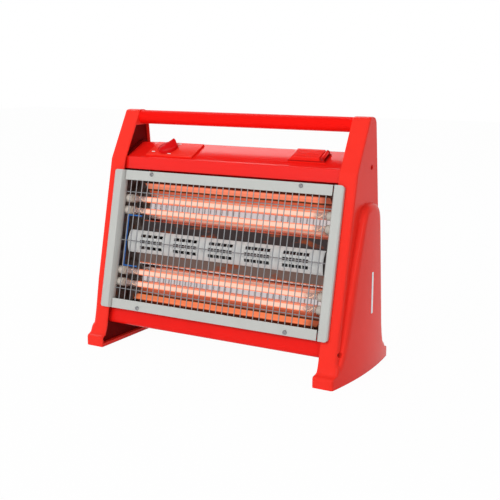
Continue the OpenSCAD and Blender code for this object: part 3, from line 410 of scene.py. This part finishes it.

# polished sheet of the reflectors, painted dark beside the louvre strip for the shade there, with painted shadow
# lines at the folds and a painted orange glow along its outer bends for the tubes' reflected light
reflectorLooks = {"reflectorMetal": {
    # colours: bright metal, painted shade beside the louvre strip (darker on the upper reflector), a stain
    # colour, a dim orange base under the painted glow, and painted shadow for the folds
    "bright": (0.64, 0.57, 0.57), "dull": (0.060, 0.046, 0.046), "lowerPaintedShade": (0.20, 0.13, 0.11),
    "stain": (0.30, 0.07, 0.03), "lit": (0.22, 0.10, 0.08), "fold": (0.05, 0.035, 0.03),
    # millimetres from the middle of the unit, metal, painted glow of the upper and of the lower reflector
    "bands": [
        (35.2, "dull", (0, 0, 0), (0, 0, 0)),
        # a thin painted glow line at the edge of the shaded band, laid on the stain colour
        (35.7, "stain", (0.30, 0.05, 0.03), (0.50, 0.12, 0.05)),
        (36.6, "stain", (0.30, 0.05, 0.03), (0.50, 0.12, 0.05)),
        (37.2, "bright", (0, 0, 0), (0, 0, 0)),
        (78.6, "bright", (0.02, 0, 0), (0, 0, 0)),
        # painted glow bands: orange emission and a dim orange base colour for the tubes' light reflected in the
        # bends
        (80.0, "lit", (0.46, 0.085, 0.035), (0.26, 0.045, 0.016)),
        (87.8, "lit", (0.52, 0.085, 0.035), (0.30, 0.045, 0.016)),
        # painted shadow at the fold between the two glowing bands
        (88.6, "fold", (0.02, 0.01, 0), (0.02, 0.01, 0)),
        (90.0, "fold", (0.02, 0.01, 0), (0.04, 0.01, 0)),
        (91.0, "lit", (0.80, 0.22, 0.12), (0.80, 0.20, 0.08)),
        (98.2, "lit", (0.80, 0.24, 0.14), (0.80, 0.20, 0.08)),
        # painted shadow under the folded edge of the rail
        (99.6, "fold", (0, 0, 0), (0, 0, 0)),
    ],
    "reach": 110.0,
    # metres: middle of the unit up the front and across, edge of the band painted dark as shade, where the
    # painted glow dies away
    "middle": 0.166245, "across": 0.004, "paintedShadeEdge": (0.0350, 0.0356), "glowEnd": (0.152, 0.178), "waver": 0.0016,
}}


def polishedSheet(name, look):
    paint = Paint(name, Metallic=1.0, Emission_Strength=1.0)
    up = paint.axis("Y") * frontRun + paint.axis("Z") * frontRise - look["middle"]
    rolled = paint.noise(1700, 4, (0.02, 1, 1))
    stain = paint.noise(90, 4, (0.3, 1, 1))
    far = paint.maths("ABSOLUTE", up) + (stain - 0.5) * look["waver"]
    share = far * (1000 / look["reach"])
    upper = paint.between(up, -0.001, 0.001)
    spots, metals, highs, lows = zip(*look["bands"])
    spots = [spot / look["reach"] for spot in spots]
    metal, high, low = [paint.ramp(share, list(zip(spots, colours)))
                        for colours in ([look[kind] for kind in metals], highs, lows)]
    # the band beside the louvre strip is painted dark as shade (darker on the upper reflector), with stain
    # patches in it
    inBand = paint.between(far, *look["paintedShadeEdge"], 1.0, 0.0)
    shadeAndStain = paint.mix(upper, shade(look["lowerPaintedShade"]), shade(look["dull"]))
    shadeAndStain = paint.mix(paint.between(stain, 0.56, 0.72), shadeAndStain, shade(look["stain"]))
    paint.put("Base Color", paint.mix(inBand, metal, shadeAndStain))
    # painted orange glow, standing in for the tubes' light reflected along the bends, fading towards the ends
    along = paint.maths("ABSOLUTE", paint.axis("X") - look["across"])
    warm = paint.between(along, *look["glowEnd"], 1.0, 0.25) * (stain * 0.4 + 0.8)
    paint.put("Emission Color", paint.mix(warm, shade((0, 0, 0)), paint.mix(upper, low, high)))
    paint.put("Roughness", rolled * 0.06 + inBand * 0.30 + 0.07)
    paint.bump(rolled, 0.03, 0.0002)
    return paint.material


makeFinishes(polishedSheet, reflectorLooks)

# zinc spangle on the hidden sheets
zincLooks = {"galvanised": {"colour": (0.46, 0.46, 0.47), "spangle": 140.0}}


def spangledSheet(name, look):
    paint = Paint(name, Metallic=0.85)
    spangle = paint.cells(look["spangle"])
    paint.put("Base Color", paint.vary(spangle, look["colour"], 0.78, 1.10))
    paint.put("Roughness", spangle * 0.18 + 0.30)
    paint.bump(paint.noise(500, 2), 0.06, 0.0002)
    return paint.material


makeFinishes(spangledSheet, zincLooks)

# sheet beside the tubes, browned by the heat
stainLooks = {
    "stainedSheet": {"plain": (0.24, 0.205, 0.19), "brown": (0.10, 0.062, 0.050), "orange": (0.36, 0.12, 0.05)},
}


def heatStained(name, look):
    paint = Paint(name, Metallic=0.6)
    stain = paint.noise(55, 5)
    tint = paint.mix(paint.between(stain, 0.36, 0.56), shade(look["brown"]), shade(look["plain"]))
    paint.put("Base Color", paint.mix(paint.between(stain, 0.58, 0.70), tint, shade(look["orange"])))
    paint.put("Roughness", stain * 0.3 + 0.3)
    paint.bump(paint.noise(400, 3), 0.10, 0.0002)
    return paint.material


makeFinishes(heatStained, stainLooks)

# unglazed ceramic, browned where the tube runs hot
ceramicLooks = {
    "tubeCeramic": {"colour": (0.58, 0.52, 0.46), "scorch": (0.30, 0.17, 0.11), "hot": (0.178, 0.191)},
}


def scorchedCeramic(name, look):
    paint = Paint(name, Specular_IOR_Level=0.3)
    reach = paint.maths("ABSOLUTE", paint.axis("X"))
    speck = paint.noise(240, 5)
    scorch = paint.between(reach + speck * 0.006, *look["hot"], 0.75, 0.0)
    body = paint.vary(speck, look["colour"], 0.88, 1.08)
    paint.put("Base Color", paint.mix(scorch, body, shade(look["scorch"])))
    paint.put("Roughness", speck * 0.2 + 0.6)
    paint.bump(paint.noise(700, 3), 0.25, 0.0003)
    return paint.material


makeFinishes(scorchedCeramic, ceramicLooks)

# quartz: milky and lit by its coil in the middle, clear at the cold ends
quartzLooks = {"quartz": {
    "middle": 0.0035, "litEnd": (0.158, 0.170), "core": (1.0, 0.60, 0.46), "edge": (1.0, 0.19, 0.07),
    "coldGlow": (0.02, 0.008, 0.005), "clear": (0.60, 0.48, 0.45), "milky": (0.10, 0.06, 0.05),
}}


def glowingQuartz(name, look):
    paint = Paint(name, Roughness=0.18, Emission_Strength=1.0, Specular_IOR_Level=0.25)
    reach = paint.maths("ABSOLUTE", paint.axis("X") - look["middle"])
    out = paint.node("ShaderNodeVectorTransform",
                     {"vector_type": "NORMAL", "convert_from": "WORLD", "convert_to": "OBJECT"},
                     {0: paint.node("ShaderNodeNewGeometry", out="Normal")})
    turn = paint.maths("ABSOLUTE", paint.part(out, "Y") * frontRun + paint.part(out, "Z") * frontRise)
    streak = paint.noise(60, 3, (0.15, 1, 1))
    lit = paint.between(reach + streak * 0.010, *look["litEnd"], 1.0, 0.0)
    glow = paint.mix(paint.between(turn, 0.52, 0.86), shade(look["core"]), shade(look["edge"]))
    paint.put("Base Color", paint.mix(lit, shade(look["clear"]), shade(look["milky"])))
    paint.put("Emission Color", paint.mix(lit, shade(look["coldGlow"]), glow))
    paint.put("Alpha", lit * 0.58 + 0.38)
    return paint.material


makeFinishes(glowingQuartz, quartzLooks)

# the wire inside, at full heat
coilLooks = {"hotCoil": {"wire": (0.25, 0.08, 0.04), "glow": (1.0, 0.42, 0.18), "hottest": (1.0, 0.62, 0.34)}}


def glowingWire(name, look):
    paint = Paint(name, Roughness=0.5, Emission_Strength=2.0)
    paint.put("Base Color", shade(look["wire"]))
    paint.put("Emission Color", paint.mix(paint.noise(90, 2), shade(look["glow"], 0.85), shade(look["hottest"])))
    return paint.material


makeFinishes(glowingWire, coilLooks)

# scuffed sleeve of the leads
sleeveLooks = {"blueLead": {"colour": (0.035, 0.19, 0.62)}}


def sleeve(name, look):
    paint = Paint(name)
    scuff = paint.noise(160, 4)
    paint.put("Base Color", paint.vary(scuff, look["colour"], 0.8, 1.15))
    paint.put("Roughness", scuff * 0.2 + 0.4)
    paint.bump(paint.noise(500, 2), 0.12, 0.0003)
    return paint.material


makeFinishes(sleeve, sleeveLooks)

# the dark red slot takes the red plastic darkened as painted shade
slotFinish = {
    "red_plastic": "redPlastic", "dark_red_plastic": "darkRedPlastic", "red_paint": "redPaint",
    "silver_paint": "silverPaint", "silver_strip": "stripAluminium", "guard_wire": "wireSteel",
    "screw_steel": "screwSteel", "dark_screw": "darkScrew", "galvanised": "galvanised",
    "polished_reflector": "reflectorMetal", "quartz": "quartz", "hot_coil": "hotCoil",
    "tube_ceramic": "tubeCeramic", "white_paint": "whiteEnamel", "bearing_bronze": "bearingBronze",
    "fan_aluminium": "fanAluminium", "motor_steel": "motorSteel", "copper_winding": "copperWinding",
    "black_plastic": "blackPlastic", "white_plastic": "whitePlastic", "blue_lead": "blueLead",
}
ownFinish = {
    "left_end_plate": "stainedSheet", "right_end_plate": "stainedSheet", "chassis_plate": "stainedSheet",
    "handle_tube": "handlePlastic",
}
for subpart in frame["record"]["subparts"]:
    node = nodes[subpart["node"]]
    finish = ownFinish.get(subpart["node"], slotFinish[subpart["material_slot"]])
    node.data.materials.clear()
    node.data.materials.append(finishes[finish])

# the two moulded side panels, drawn as sections stacked up the height
panelShape = {
    "side": 232.0, "sideTop": 231.9, "height": 398.0, "topEdge": 3.0, "floorEdge": 0.4,
    "front": -94.4, "frontLean": 12.7, "bend": 314.0, "bendSoft": 4.0, "upperLean": 29.17, "topFront": (6.0, 3.0),
    "back": 91.2, "backLean": 6.3, "topBack": 12.0,
    "toe": 101.8, "toeTop": (13.5, 18.0), "toeCurl": 5.5, "flareTop": 38.0, "heelTop": 22.0,
    "rim": 202.0, "rimTop": 2.0, "rimEdge": 1.0, "rimWall": 3.0, "toeRim": 200.0, "toeRimStep": (21.0, 17.0),
    "cavity": (6.0, 371.8), "cavityDepth": 10.0,  # hidden behind the inner cover
    # corners, which grow towards the foot, and the most they take of the depth
    "frontEdge": 4.0, "upperEdge": 3.0, "lowEdge": 3.5, "lowEdgeStep": (110.0, 60.0), "toeEdge": 4.0,
    "toeEdgeTop": 20.0, "backEdge": 3.0, "mostEdge": 0.3, "mostWall": 0.2, "mostRimEdge": 0.1,
    # the boss: steep at its front and foot, gentle at its back, with a wider fall part way down
    "crown": 244.0, "bowRadius": 620.0, "bowMiddle": 12.0, "bossTop": 268.0,
    "ridge": (9.5, 14.0), "ridgeTurn": (2.7, 2.0), "ridgeBack": (-5.0, 35.0), "ridgeLow": (38.0, 68.0),
    "swell": 5.0, "swellTop": (230.0, 120.0), "swellFoot": (40.0, 80.0),
    # where the boss rises from the side face, from the toe round its top to the heel
    "root": [(-150, 25), (-101.8, 25), (-92, 26.5), (-83.5, 30), (-77.5, 36.5), (-73.5, 47), (-69.5, 60),
             (-61, 92), (-52, 128), (-40, 172), (-28, 209), (-17, 241), (-13.5, 250), (-8, 258.5), (1, 264),
             (13, 267), (31, 267), (42, 264), (49.5, 257), (54, 247), (56.2, 235), (68.1, 128), (77, 48),
             (79.5, 37), (85, 30), (92, 27), (101.8, 26), (150, 26)],
    "rootBelow": -60,
    "holes": [(31, 321), (-75.4, 49)], "holeWidth": 8.6, "holeFloor": 226.0, "holePast": 4.0, "holeSides": 48,
    "smooth": 38,
}

# how many points a section has along each stretch, and the heights of the sections
panelGrid = {
    "front": 4, "frontCorner": 7, "flat": 5, "ridge": 9, "face": 26, "backCorner": 6, "back": 3, "inside": 4,
    "crowd": 1.7, "rootTop": 241.0, "apart": 0.4, "evenStep": (268.0, 302.0),
    "first": [0, 0.4, 1, 3, 9], "last": [397.7, 397.9, 398], "cavityStep": 0.02,
    "stretches": [(11, 20, 0.75), (20, 44, 1.5), (44, 70, 2.5), (70, 230, 8), (230, 270, 1.2), (270, 308, 6),
                  (308, 320, 1.2), (320, 367, 7), (373, 386, 4), (386, 394, 1.2), (394, 397.6, 0.6)],
}


def tangent(degrees):
    return math.tan(math.radians(degrees))


def step(value, start, end):  # 0 before start, 1 past end
    return min(1.0, max(0.0, (value - start) / (end - start)))


def roundOff(t):  # the fall of a quarter circle
    return 1 - math.sqrt(max(0.0, 1 - t * t))


def topTurn(z, rise):  # how far z is into the rounding at the top
    return max(0.0, (z - panelShape["height"] + rise) / rise)


def footLine(z, straight, flare):  # how far a foot reaches out, before it meets the straight edge
    low, top = panelShape["toeTop"]
    toe, curl = panelShape["toe"], panelShape["toeCurl"]
    if z <= low:
        return toe
    if z <= top:
        return toe - curl * roundOff((z - low) / (top - low))
    t = math.sqrt((z - top) / (flare - top))
    start, middle, end = toe - curl, straight(top), straight(flare)
    return start * (1 - t) ** 2 + 2 * middle * t * (1 - t) + end * t * t


def lowerFront(z):
    return panelShape["front"] + z * tangent(panelShape["frontLean"])


def upperFront(z):
    bend = panelShape["bend"]
    return lowerFront(bend) + (z - bend) * tangent(panelShape["upperLean"])


def straightBack(z):
    return panelShape["back"] - z * tangent(panelShape["backLean"])


def frontLine(z):
    shape = panelShape
    bend, soft = shape["bend"], shape["bendSoft"]
    if z < shape["flareTop"]:
        return -footLine(z, lambda h: -lowerFront(h), shape["flareTop"])
    if z < bend - soft:
        return lowerFront(z)
    if z < bend + soft:
        t = (z - bend + soft) / (2 * soft)
        return lowerFront(z) + soft * t * t * (tangent(shape["upperLean"]) - tangent(shape["frontLean"]))
    run, rise = shape["topFront"]
    return upperFront(z) + run * roundOff(topTurn(z, rise))


def backLine(z):
    if z < panelShape["heelTop"]:
        return footLine(z, straightBack, panelShape["heelTop"])
    radius = panelShape["topBack"]
    return straightBack(z) - radius * roundOff(topTurn(z, radius))


def cornerCut(points, times):
    for _ in range(times):
        cutLine = [points[0]]
        for a, b in zip(points, points[1:]):
            cutLine.append((a[0] * 0.75 + b[0] * 0.25, a[1] * 0.75 + b[1] * 0.25))
            cutLine.append((a[0] * 0.25 + b[0] * 0.75, a[1] * 0.25 + b[1] * 0.75))
        points = cutLine + [points[-1]]
    return points


rootLine = cornerCut(panelShape["root"], 2)
topOfRoot = max(range(len(rootLine)), key=lambda i: rootLine[i][1])


def rootAt(line, z):
    for a, b in zip(line, line[1:]):
        if (a[1] - z) * (b[1] - z) <= 0 and a[1] != b[1]:
            return a[0] + (b[0] - a[0]) * (z - a[1]) / (b[1] - a[1])
    return line[0][0] if z < line[0][1] else line[-1][0]


def insideRoot(y, z):  # distance inside the root line, or 0 outside it
    inside, least = False, math.inf
    below = panelShape["rootBelow"]
    closed = rootLine + [(rootLine[-1][0], below), (rootLine[0][0], below), rootLine[0]]
    for i, (a, b) in enumerate(zip(closed, closed[1:])):
        if (a[1] > z) != (b[1] > z) and y < a[0] + (b[0] - a[0]) * (z - a[1]) / (b[1] - a[1]):
            inside = not inside
        if i < len(rootLine) - 1:
            dy, dz = b[0] - a[0], b[1] - a[1]
            t = min(1.0, max(0.0, ((y - a[0]) * dy + (z - a[1]) * dz) / (dy * dy + dz * dz)))
            least = min(least, math.hypot(y - a[0] - t * dy, z - a[1] - t * dz))
    return least if inside else 0.0


def ridgeWidth(y, z):
    shape = panelShape
    steep, gentle = shape["ridge"]
    steep += shape["swell"] * step(z, *shape["swellTop"]) * step(z, *shape["swellFoot"])
    return steep + (gentle - steep) * step(y, *shape["ridgeBack"]) * step(z, *shape["ridgeLow"])


def outerFace(y, z):
    shape = panelShape
    edge = shape["topEdge"]
    side = shape["side"] + (shape["sideTop"] - shape["side"]) * step(z, shape["bend"], shape["height"])
    side -= edge * roundOff(topTurn(z, edge))
    if z > shape["bossTop"]:
        return side
    bow = shape["crown"] - (y - shape["bowMiddle"]) ** 2 / (2 * shape["bowRadius"])
    t = 1 - min(1.0, insideRoot(y, z) / ridgeWidth(y, z))
    steep, gentle = shape["ridgeTurn"]
    power = steep + (gentle - steep) * step(y, *shape["ridgeBack"])
    return side + (bow - side) * (1 - t ** power) ** (1 / power)


def spread(start, end, count, power=1.0):  # points after start, up to end
    return [start + (end - start) * ((i + 1) / count) ** power for i in range(count)]


def sideColumns(z, start, end):  # crowded where the boss rises, even above it
    grid = panelGrid
    level = min(z, grid["rootTop"])
    front = max(rootAt(rootLine[:topOfRoot + 1], level), start + grid["apart"])
    back = min(rootAt(rootLine[topOfRoot:][::-1], level), end - grid["apart"])
    rise, fall = ridgeWidth(front, z), ridgeWidth(back, z)
    count = grid["ridge"]
    held = spread(start, front, grid["flat"]) + spread(front, front + rise, count, grid["crowd"])
    held += spread(front + rise, back - fall, grid["face"])
    held += [back - fall * (1 - i / count) ** grid["crowd"] for i in range(1, count + 1)]
    held += spread(back, end, grid["flat"])
    even = spread(start, end, len(held))
    share = step(z, *grid["evenStep"])
    return [h + (e - h) * share for h, e in zip(held, even)]


def panelSection(z):
    shape, grid = panelShape, panelGrid
    inset = max(0.0, shape["floorEdge"] - z)
    y0, y1 = frontLine(z) + inset, backLine(z) - inset
    deep = y1 - y0
    rim = shape["rim"] - (shape["rim"] - shape["toeRim"]) * step(z, *shape["toeRimStep"])
    rim += inset + shape["rimTop"] * roundOff(topTurn(z, shape["rimTop"]))
    edge = shape["frontEdge"] if z < shape["bend"] else shape["upperEdge"]
    edge += shape["lowEdge"] * step(z, *shape["lowEdgeStep"])
    edge = min(shape["toeEdge"] if z < shape["toeEdgeTop"] else edge, deep * shape["mostEdge"])
    heel = min(shape["backEdge"], deep * shape["mostEdge"])
    wall = min(shape["rimWall"], deep * shape["mostWall"])
    small = min(shape["rimEdge"], deep * shape["mostRimEdge"])
    hollow = shape["cavity"][0] <= z <= shape["cavity"][1]
    inner = rim + shape["cavityDepth"] if hollow else rim
    corner = outerFace(y0 + edge, z) - inset
    heelCorner = outerFace(y1 - heel, z) - inset
    loop = [(rim, y0 + small), (rim + small, y0)]
    loop += [(x, y0) for x in spread(rim + small, corner - edge, grid["front"])]
    loop += [(corner - edge + edge * math.sin(a), y0 + edge - edge * math.cos(a))
             for a in spread(0, math.pi / 2, grid["frontCorner"])]
    loop += [(outerFace(y, z) - inset, y) for y in sideColumns(z, y0 + edge, y1 - heel)]
    loop += [(heelCorner - heel + heel * math.cos(a), y1 - heel + heel * math.sin(a))
             for a in spread(0, math.pi / 2, grid["backCorner"])]
    loop += [(x, y1) for x in spread(heelCorner - heel, rim + small, grid["back"])]
    loop += [(rim, y1 - small), (rim, y1 - wall), (inner, y1 - wall)]
    loop += [(inner, y) for y in spread(y1 - wall, y0 + wall, grid["inside"])]
    return loop + [(rim, y0 + wall), loop[0]]


def heights():
    low, high = panelShape["cavity"]
    thin = panelGrid["cavityStep"]
    levels = panelGrid["first"] + [low - thin, low, high, high + thin] + panelGrid["last"]
    for start, end, gap in panelGrid["stretches"]:
        count = round((end - start) / gap)
        levels += [start + (end - start) * i / count for i in range(count)]
    return sorted(levels)


def sidePanel(name, cadNode, way):
    shape = panelShape
    rows = [(z, panelSection(z)) for z in heights()]
    count = len(rows[0][1])
    clearSelection()
    bpy.ops.mesh.primitive_grid_add(x_subdivisions=count - 1, y_subdivisions=len(rows) - 1, size=1)
    panel = named(name)
    for vertex in panel.data.vertices:
        z, section = rows[vertex.index // count]
        x, y = section[vertex.index % count]
        vertex.co = (way * x * mm, y * mm, z * mm)
    closeUp(panel)
    deep = shape["crown"] + shape["holePast"] - shape["holeFloor"]
    middle = way * (shape["holeFloor"] + deep / 2)
    for y, z in shape["holes"]:
        clearSelection()
        bpy.ops.mesh.primitive_cylinder_add(vertices=shape["holeSides"], radius=shape["holeWidth"] / 2 * mm,
                                            depth=deep * mm, location=(middle * mm, y * mm, z * mm),
                                            rotation=(0, math.pi / 2, 0))
        combine(panel, bpy.context.object)
    smooth(panel, shape["smooth"])
    standFor(panel, "body", "red_plastic", "redPlastic", cadNode)


sidePanel("rightPanel", "right_side_shell", 1)
sidePanel("leftPanel", "left_side_shell", -1)
print("side panels made")

# sheets, rails and small mouldings with their edges broken: CAD piece, slot, finish, millimetres, body
brokenEdges = {
    "topCover": ("top_cover", "red_paint", "redPaint", 0.4, "body"),
    "lowerPanel": ("lower_front_panel", "red_paint", "lowRedPaint", 0.4, "body"),
    "topRail": ("frame_top_rail", "silver_paint", "silverPaint", 0.35, "body"),
    "bottomRail": ("frame_bottom_rail", "silver_paint", "silverPaint", 0.35, "body"),
    "leftStile": ("frame_left_stile", "silver_paint", "silverPaint", 0.35, "body"),
    "rightStile": ("frame_right_stile", "silver_paint", "silverPaint", 0.35, "body"),
    "controlPlate": ("control_plate", "red_plastic", "redPlastic", 0.7, "body"),
    "tankBezel": ("tank_bezel", "red_plastic", "bezelPlastic", 0.35, "body"),
    "tankLid": ("tank_lid", "red_plastic", "lidPlastic", 0.3, "lid"),
}
for name, (cadNode, slot, finish, width, body) in brokenEdges.items():
    standFor(softCopy(cadNode, name, width), body, slot, finish, cadNode)
print("edges broken on", len(brokenEdges), "pieces")

# the knob: a disc with a wedge for the fingers
knobShape = {
    "middle": (-133, 23.5), "turn": 56, "radius": 17.0, "foot": 3.3, "disc": 5.0, "sides": 96, "discEdge": 1.0,
    "grip": 8.0, "gripFoot": 22.0, "gripRidge": 4.0, "gripSunk": 1.0, "gripLong": 0.9, "gripTip": 1.2,
    "gripInset": 0.9, "gripEdge": 0.7, "segments": 3, "smooth": 30,
}


def turnedKnob():
    shape = knobShape
    top = shape["foot"] + shape["disc"]
    tall = shape["grip"] + shape["gripSunk"]
    clearSelection()
    bpy.ops.mesh.primitive_cylinder_add(vertices=shape["sides"], radius=shape["radius"], depth=shape["disc"],
                                        location=(0, 0, top - shape["disc"] / 2))
    knob = named("turnedKnob")
    settle()
    breakEdges(knob, shape["discEdge"], shape["segments"])
    clearSelection()
    bpy.ops.mesh.primitive_cube_add(size=1, location=(0, 0, top - shape["gripSunk"] + tall / 2),
                                    scale=(2 * shape["radius"], shape["gripFoot"], tall))
    grip = named("grip")
    settle()
    selectFaces(grip, lambda normal: normal.z > 0.9)
    bpy.ops.transform.resize(value=(shape["gripLong"], shape["gripRidge"] / shape["gripFoot"], 1))
    selectEdges(grip, lambda a, b: min(a.z, b.z) > top + 1 and max(a.x, b.x) < 0)
    bpy.ops.transform.translate(value=(0, 0, shape["gripTip"] - shape["grip"]))
    bpy.ops.object.mode_set(mode="OBJECT")
    clearSelection()
    bpy.ops.mesh.primitive_cylinder_add(vertices=shape["sides"], radius=shape["radius"] - shape["gripInset"],
                                        depth=40, location=(0, 0, top))
    combine(grip, bpy.context.object, "INTERSECT")
    breakEdges(grip, shape["gripEdge"], shape["segments"])
    combine(knob, grip, "UNION")
    smooth(knob, shape["smooth"])
    turn = Matrix.Rotation(math.radians(shape["turn"]), 4, "Z")
    place(knob, slopePlace @ Matrix.Translation((*shape["middle"], 0)) @ turn)
    return knob


standFor(turnedKnob(), "knob", "red_plastic", "knobPlastic", "knob")

# short white marks printed round the knob
dialMarks = {"places": [(-157.0, 12.2), (-122.0, 8.2), (-119.6, 40.9)], "size": (6.4, 2.2, 0.12), "height": 3.09}
marks = []
for x, v in dialMarks["places"]:
    clearSelection()
    bpy.ops.mesh.primitive_cube_add(size=1, scale=dialMarks["size"])
    mark = named("dialMark")
    settle()
    place(mark, slopePlace @ Matrix.Translation((x, v, dialMarks["height"])))
    marks.append(mark)
standFor(joined(marks, "dialMarks"), "body", "white_paint", "dialWhite")
print("knob and dial made")

# the four frame screws, with a cross recess
frameScrew = {
    "across": 141.0, "up": 113.5, "seat": 1.2, "top": 3.25, "radius": 3.5, "sides": 48, "dome": 1.2,
    "domeSteps": 5, "recess": (4.4, 0.9, 1.5), "turn": 0.4,
}


def crossScrew():
    shape = frameScrew
    deep = shape["top"] - shape["seat"]
    clearSelection()
    bpy.ops.mesh.primitive_cylinder_add(vertices=shape["sides"], radius=shape["radius"], depth=deep,
                                        location=(0, 0, deep / 2))
    head = named("crossScrew")
    settle()
    selectEdges(head, lambda a, b: min(a.z, b.z) > deep * 0.9)
    bpy.ops.mesh.bevel(offset=shape["dome"], segments=shape["domeSteps"], affect="EDGES")
    bpy.ops.object.mode_set(mode="OBJECT")
    for turn in (shape["turn"], shape["turn"] + math.pi / 2):
        clearSelection()
        bpy.ops.mesh.primitive_cube_add(size=1, location=(0, 0, deep), rotation=(0, 0, turn),
                                        scale=shape["recess"])
        combine(head, bpy.context.object)
    smooth(head, edgeWork["angle"])
    return head


pattern = crossScrew()
heads = []
for x in (-frameScrew["across"], frameScrew["across"]):
    for v in (-frameScrew["up"], frameScrew["up"]):
        head = pattern.copy()
        head.data = pattern.data.copy()
        bpy.context.collection.objects.link(head)
        place(head, frontPlace @ Matrix.Translation((x, v, frameScrew["seat"])))
        heads.append(head)
bpy.data.objects.remove(pattern)
standFor(joined(heads, "frameScrews"), "body", "screw_steel", "screwSteel", "frame_screws")
print("frame screws made")

# floor, daylight and lamps
studio = {
    "floor": 0.86, "whiteFloor": 0.975, "floorSize": 12, "floorDrop": 0.0005, "white": (1, 1, 1, 1),
    "sky": 0.50, "ceiling": (0.70, 0.80), "ceilingLight": 0.15,
    # name, place, size, watts, shown in the reflectors
    "lamps": [("keyLamp", (-0.6, -2.8, 1.7), 1.5, 44, False), ("fillLamp", (2.2, -1.9, 1.1), 0.5, 6.5, True),
              ("topLamp", (-1.25, 1.0, 2.2), 1.3, 12, True)],
    "aim": (0, 0, 0.2),
}
clearSelection()
bpy.ops.mesh.primitive_plane_add(size=studio["floorSize"], location=(0, 0, -studio["floorDrop"]))
floor = named("floor")
floorPaint = Paint("floorPaint", Roughness=0.9)
floorPaint.put("Base Color", shade((studio["floor"],) * 3))
paper = floorPaint.node("ShaderNodeEmission", None, {"Color": studio["white"], "Strength": 1.0})
lit = Link(floorPaint, floorPaint.shader.outputs[0])
floorPaint.blend(floorPaint.seen() * studio["whiteFloor"], lit, paper, "Material Output")
floor.data.materials.append(floorPaint.material)

# white walls under a darker ceiling, seen and mirrored, and plain daylight for the rest
world = bpy.data.worlds.new("studioWorld")
bpy.context.scene.world = world
world.use_nodes = True
sky = Paint("sky", world.node_tree)
daylight = sky.node("ShaderNodeBackground", None, {"Color": studio["white"], "Strength": studio["sky"]})
up = sky.part(sky.node("ShaderNodeTexCoord", out="Generated"), "Z")
strength = sky.between(up, *studio["ceiling"], 1.0, studio["ceilingLight"])
walls = sky.node("ShaderNodeBackground", None, {"Color": studio["white"], "Strength": strength})
sky.blend(sky.seen(), daylight, walls, "World Output")

for name, where, size, watts, mirrored in studio["lamps"]:
    bpy.ops.object.light_add(type="AREA", location=where)
    lamp = bpy.context.object
    lamp.name = name
    lamp.visible_glossy = mirrored
    lamp.data.energy = watts
    lamp.data.size = size
    aim(lamp, Vector(studio["aim"]) - Vector(where))
print("studio lit")
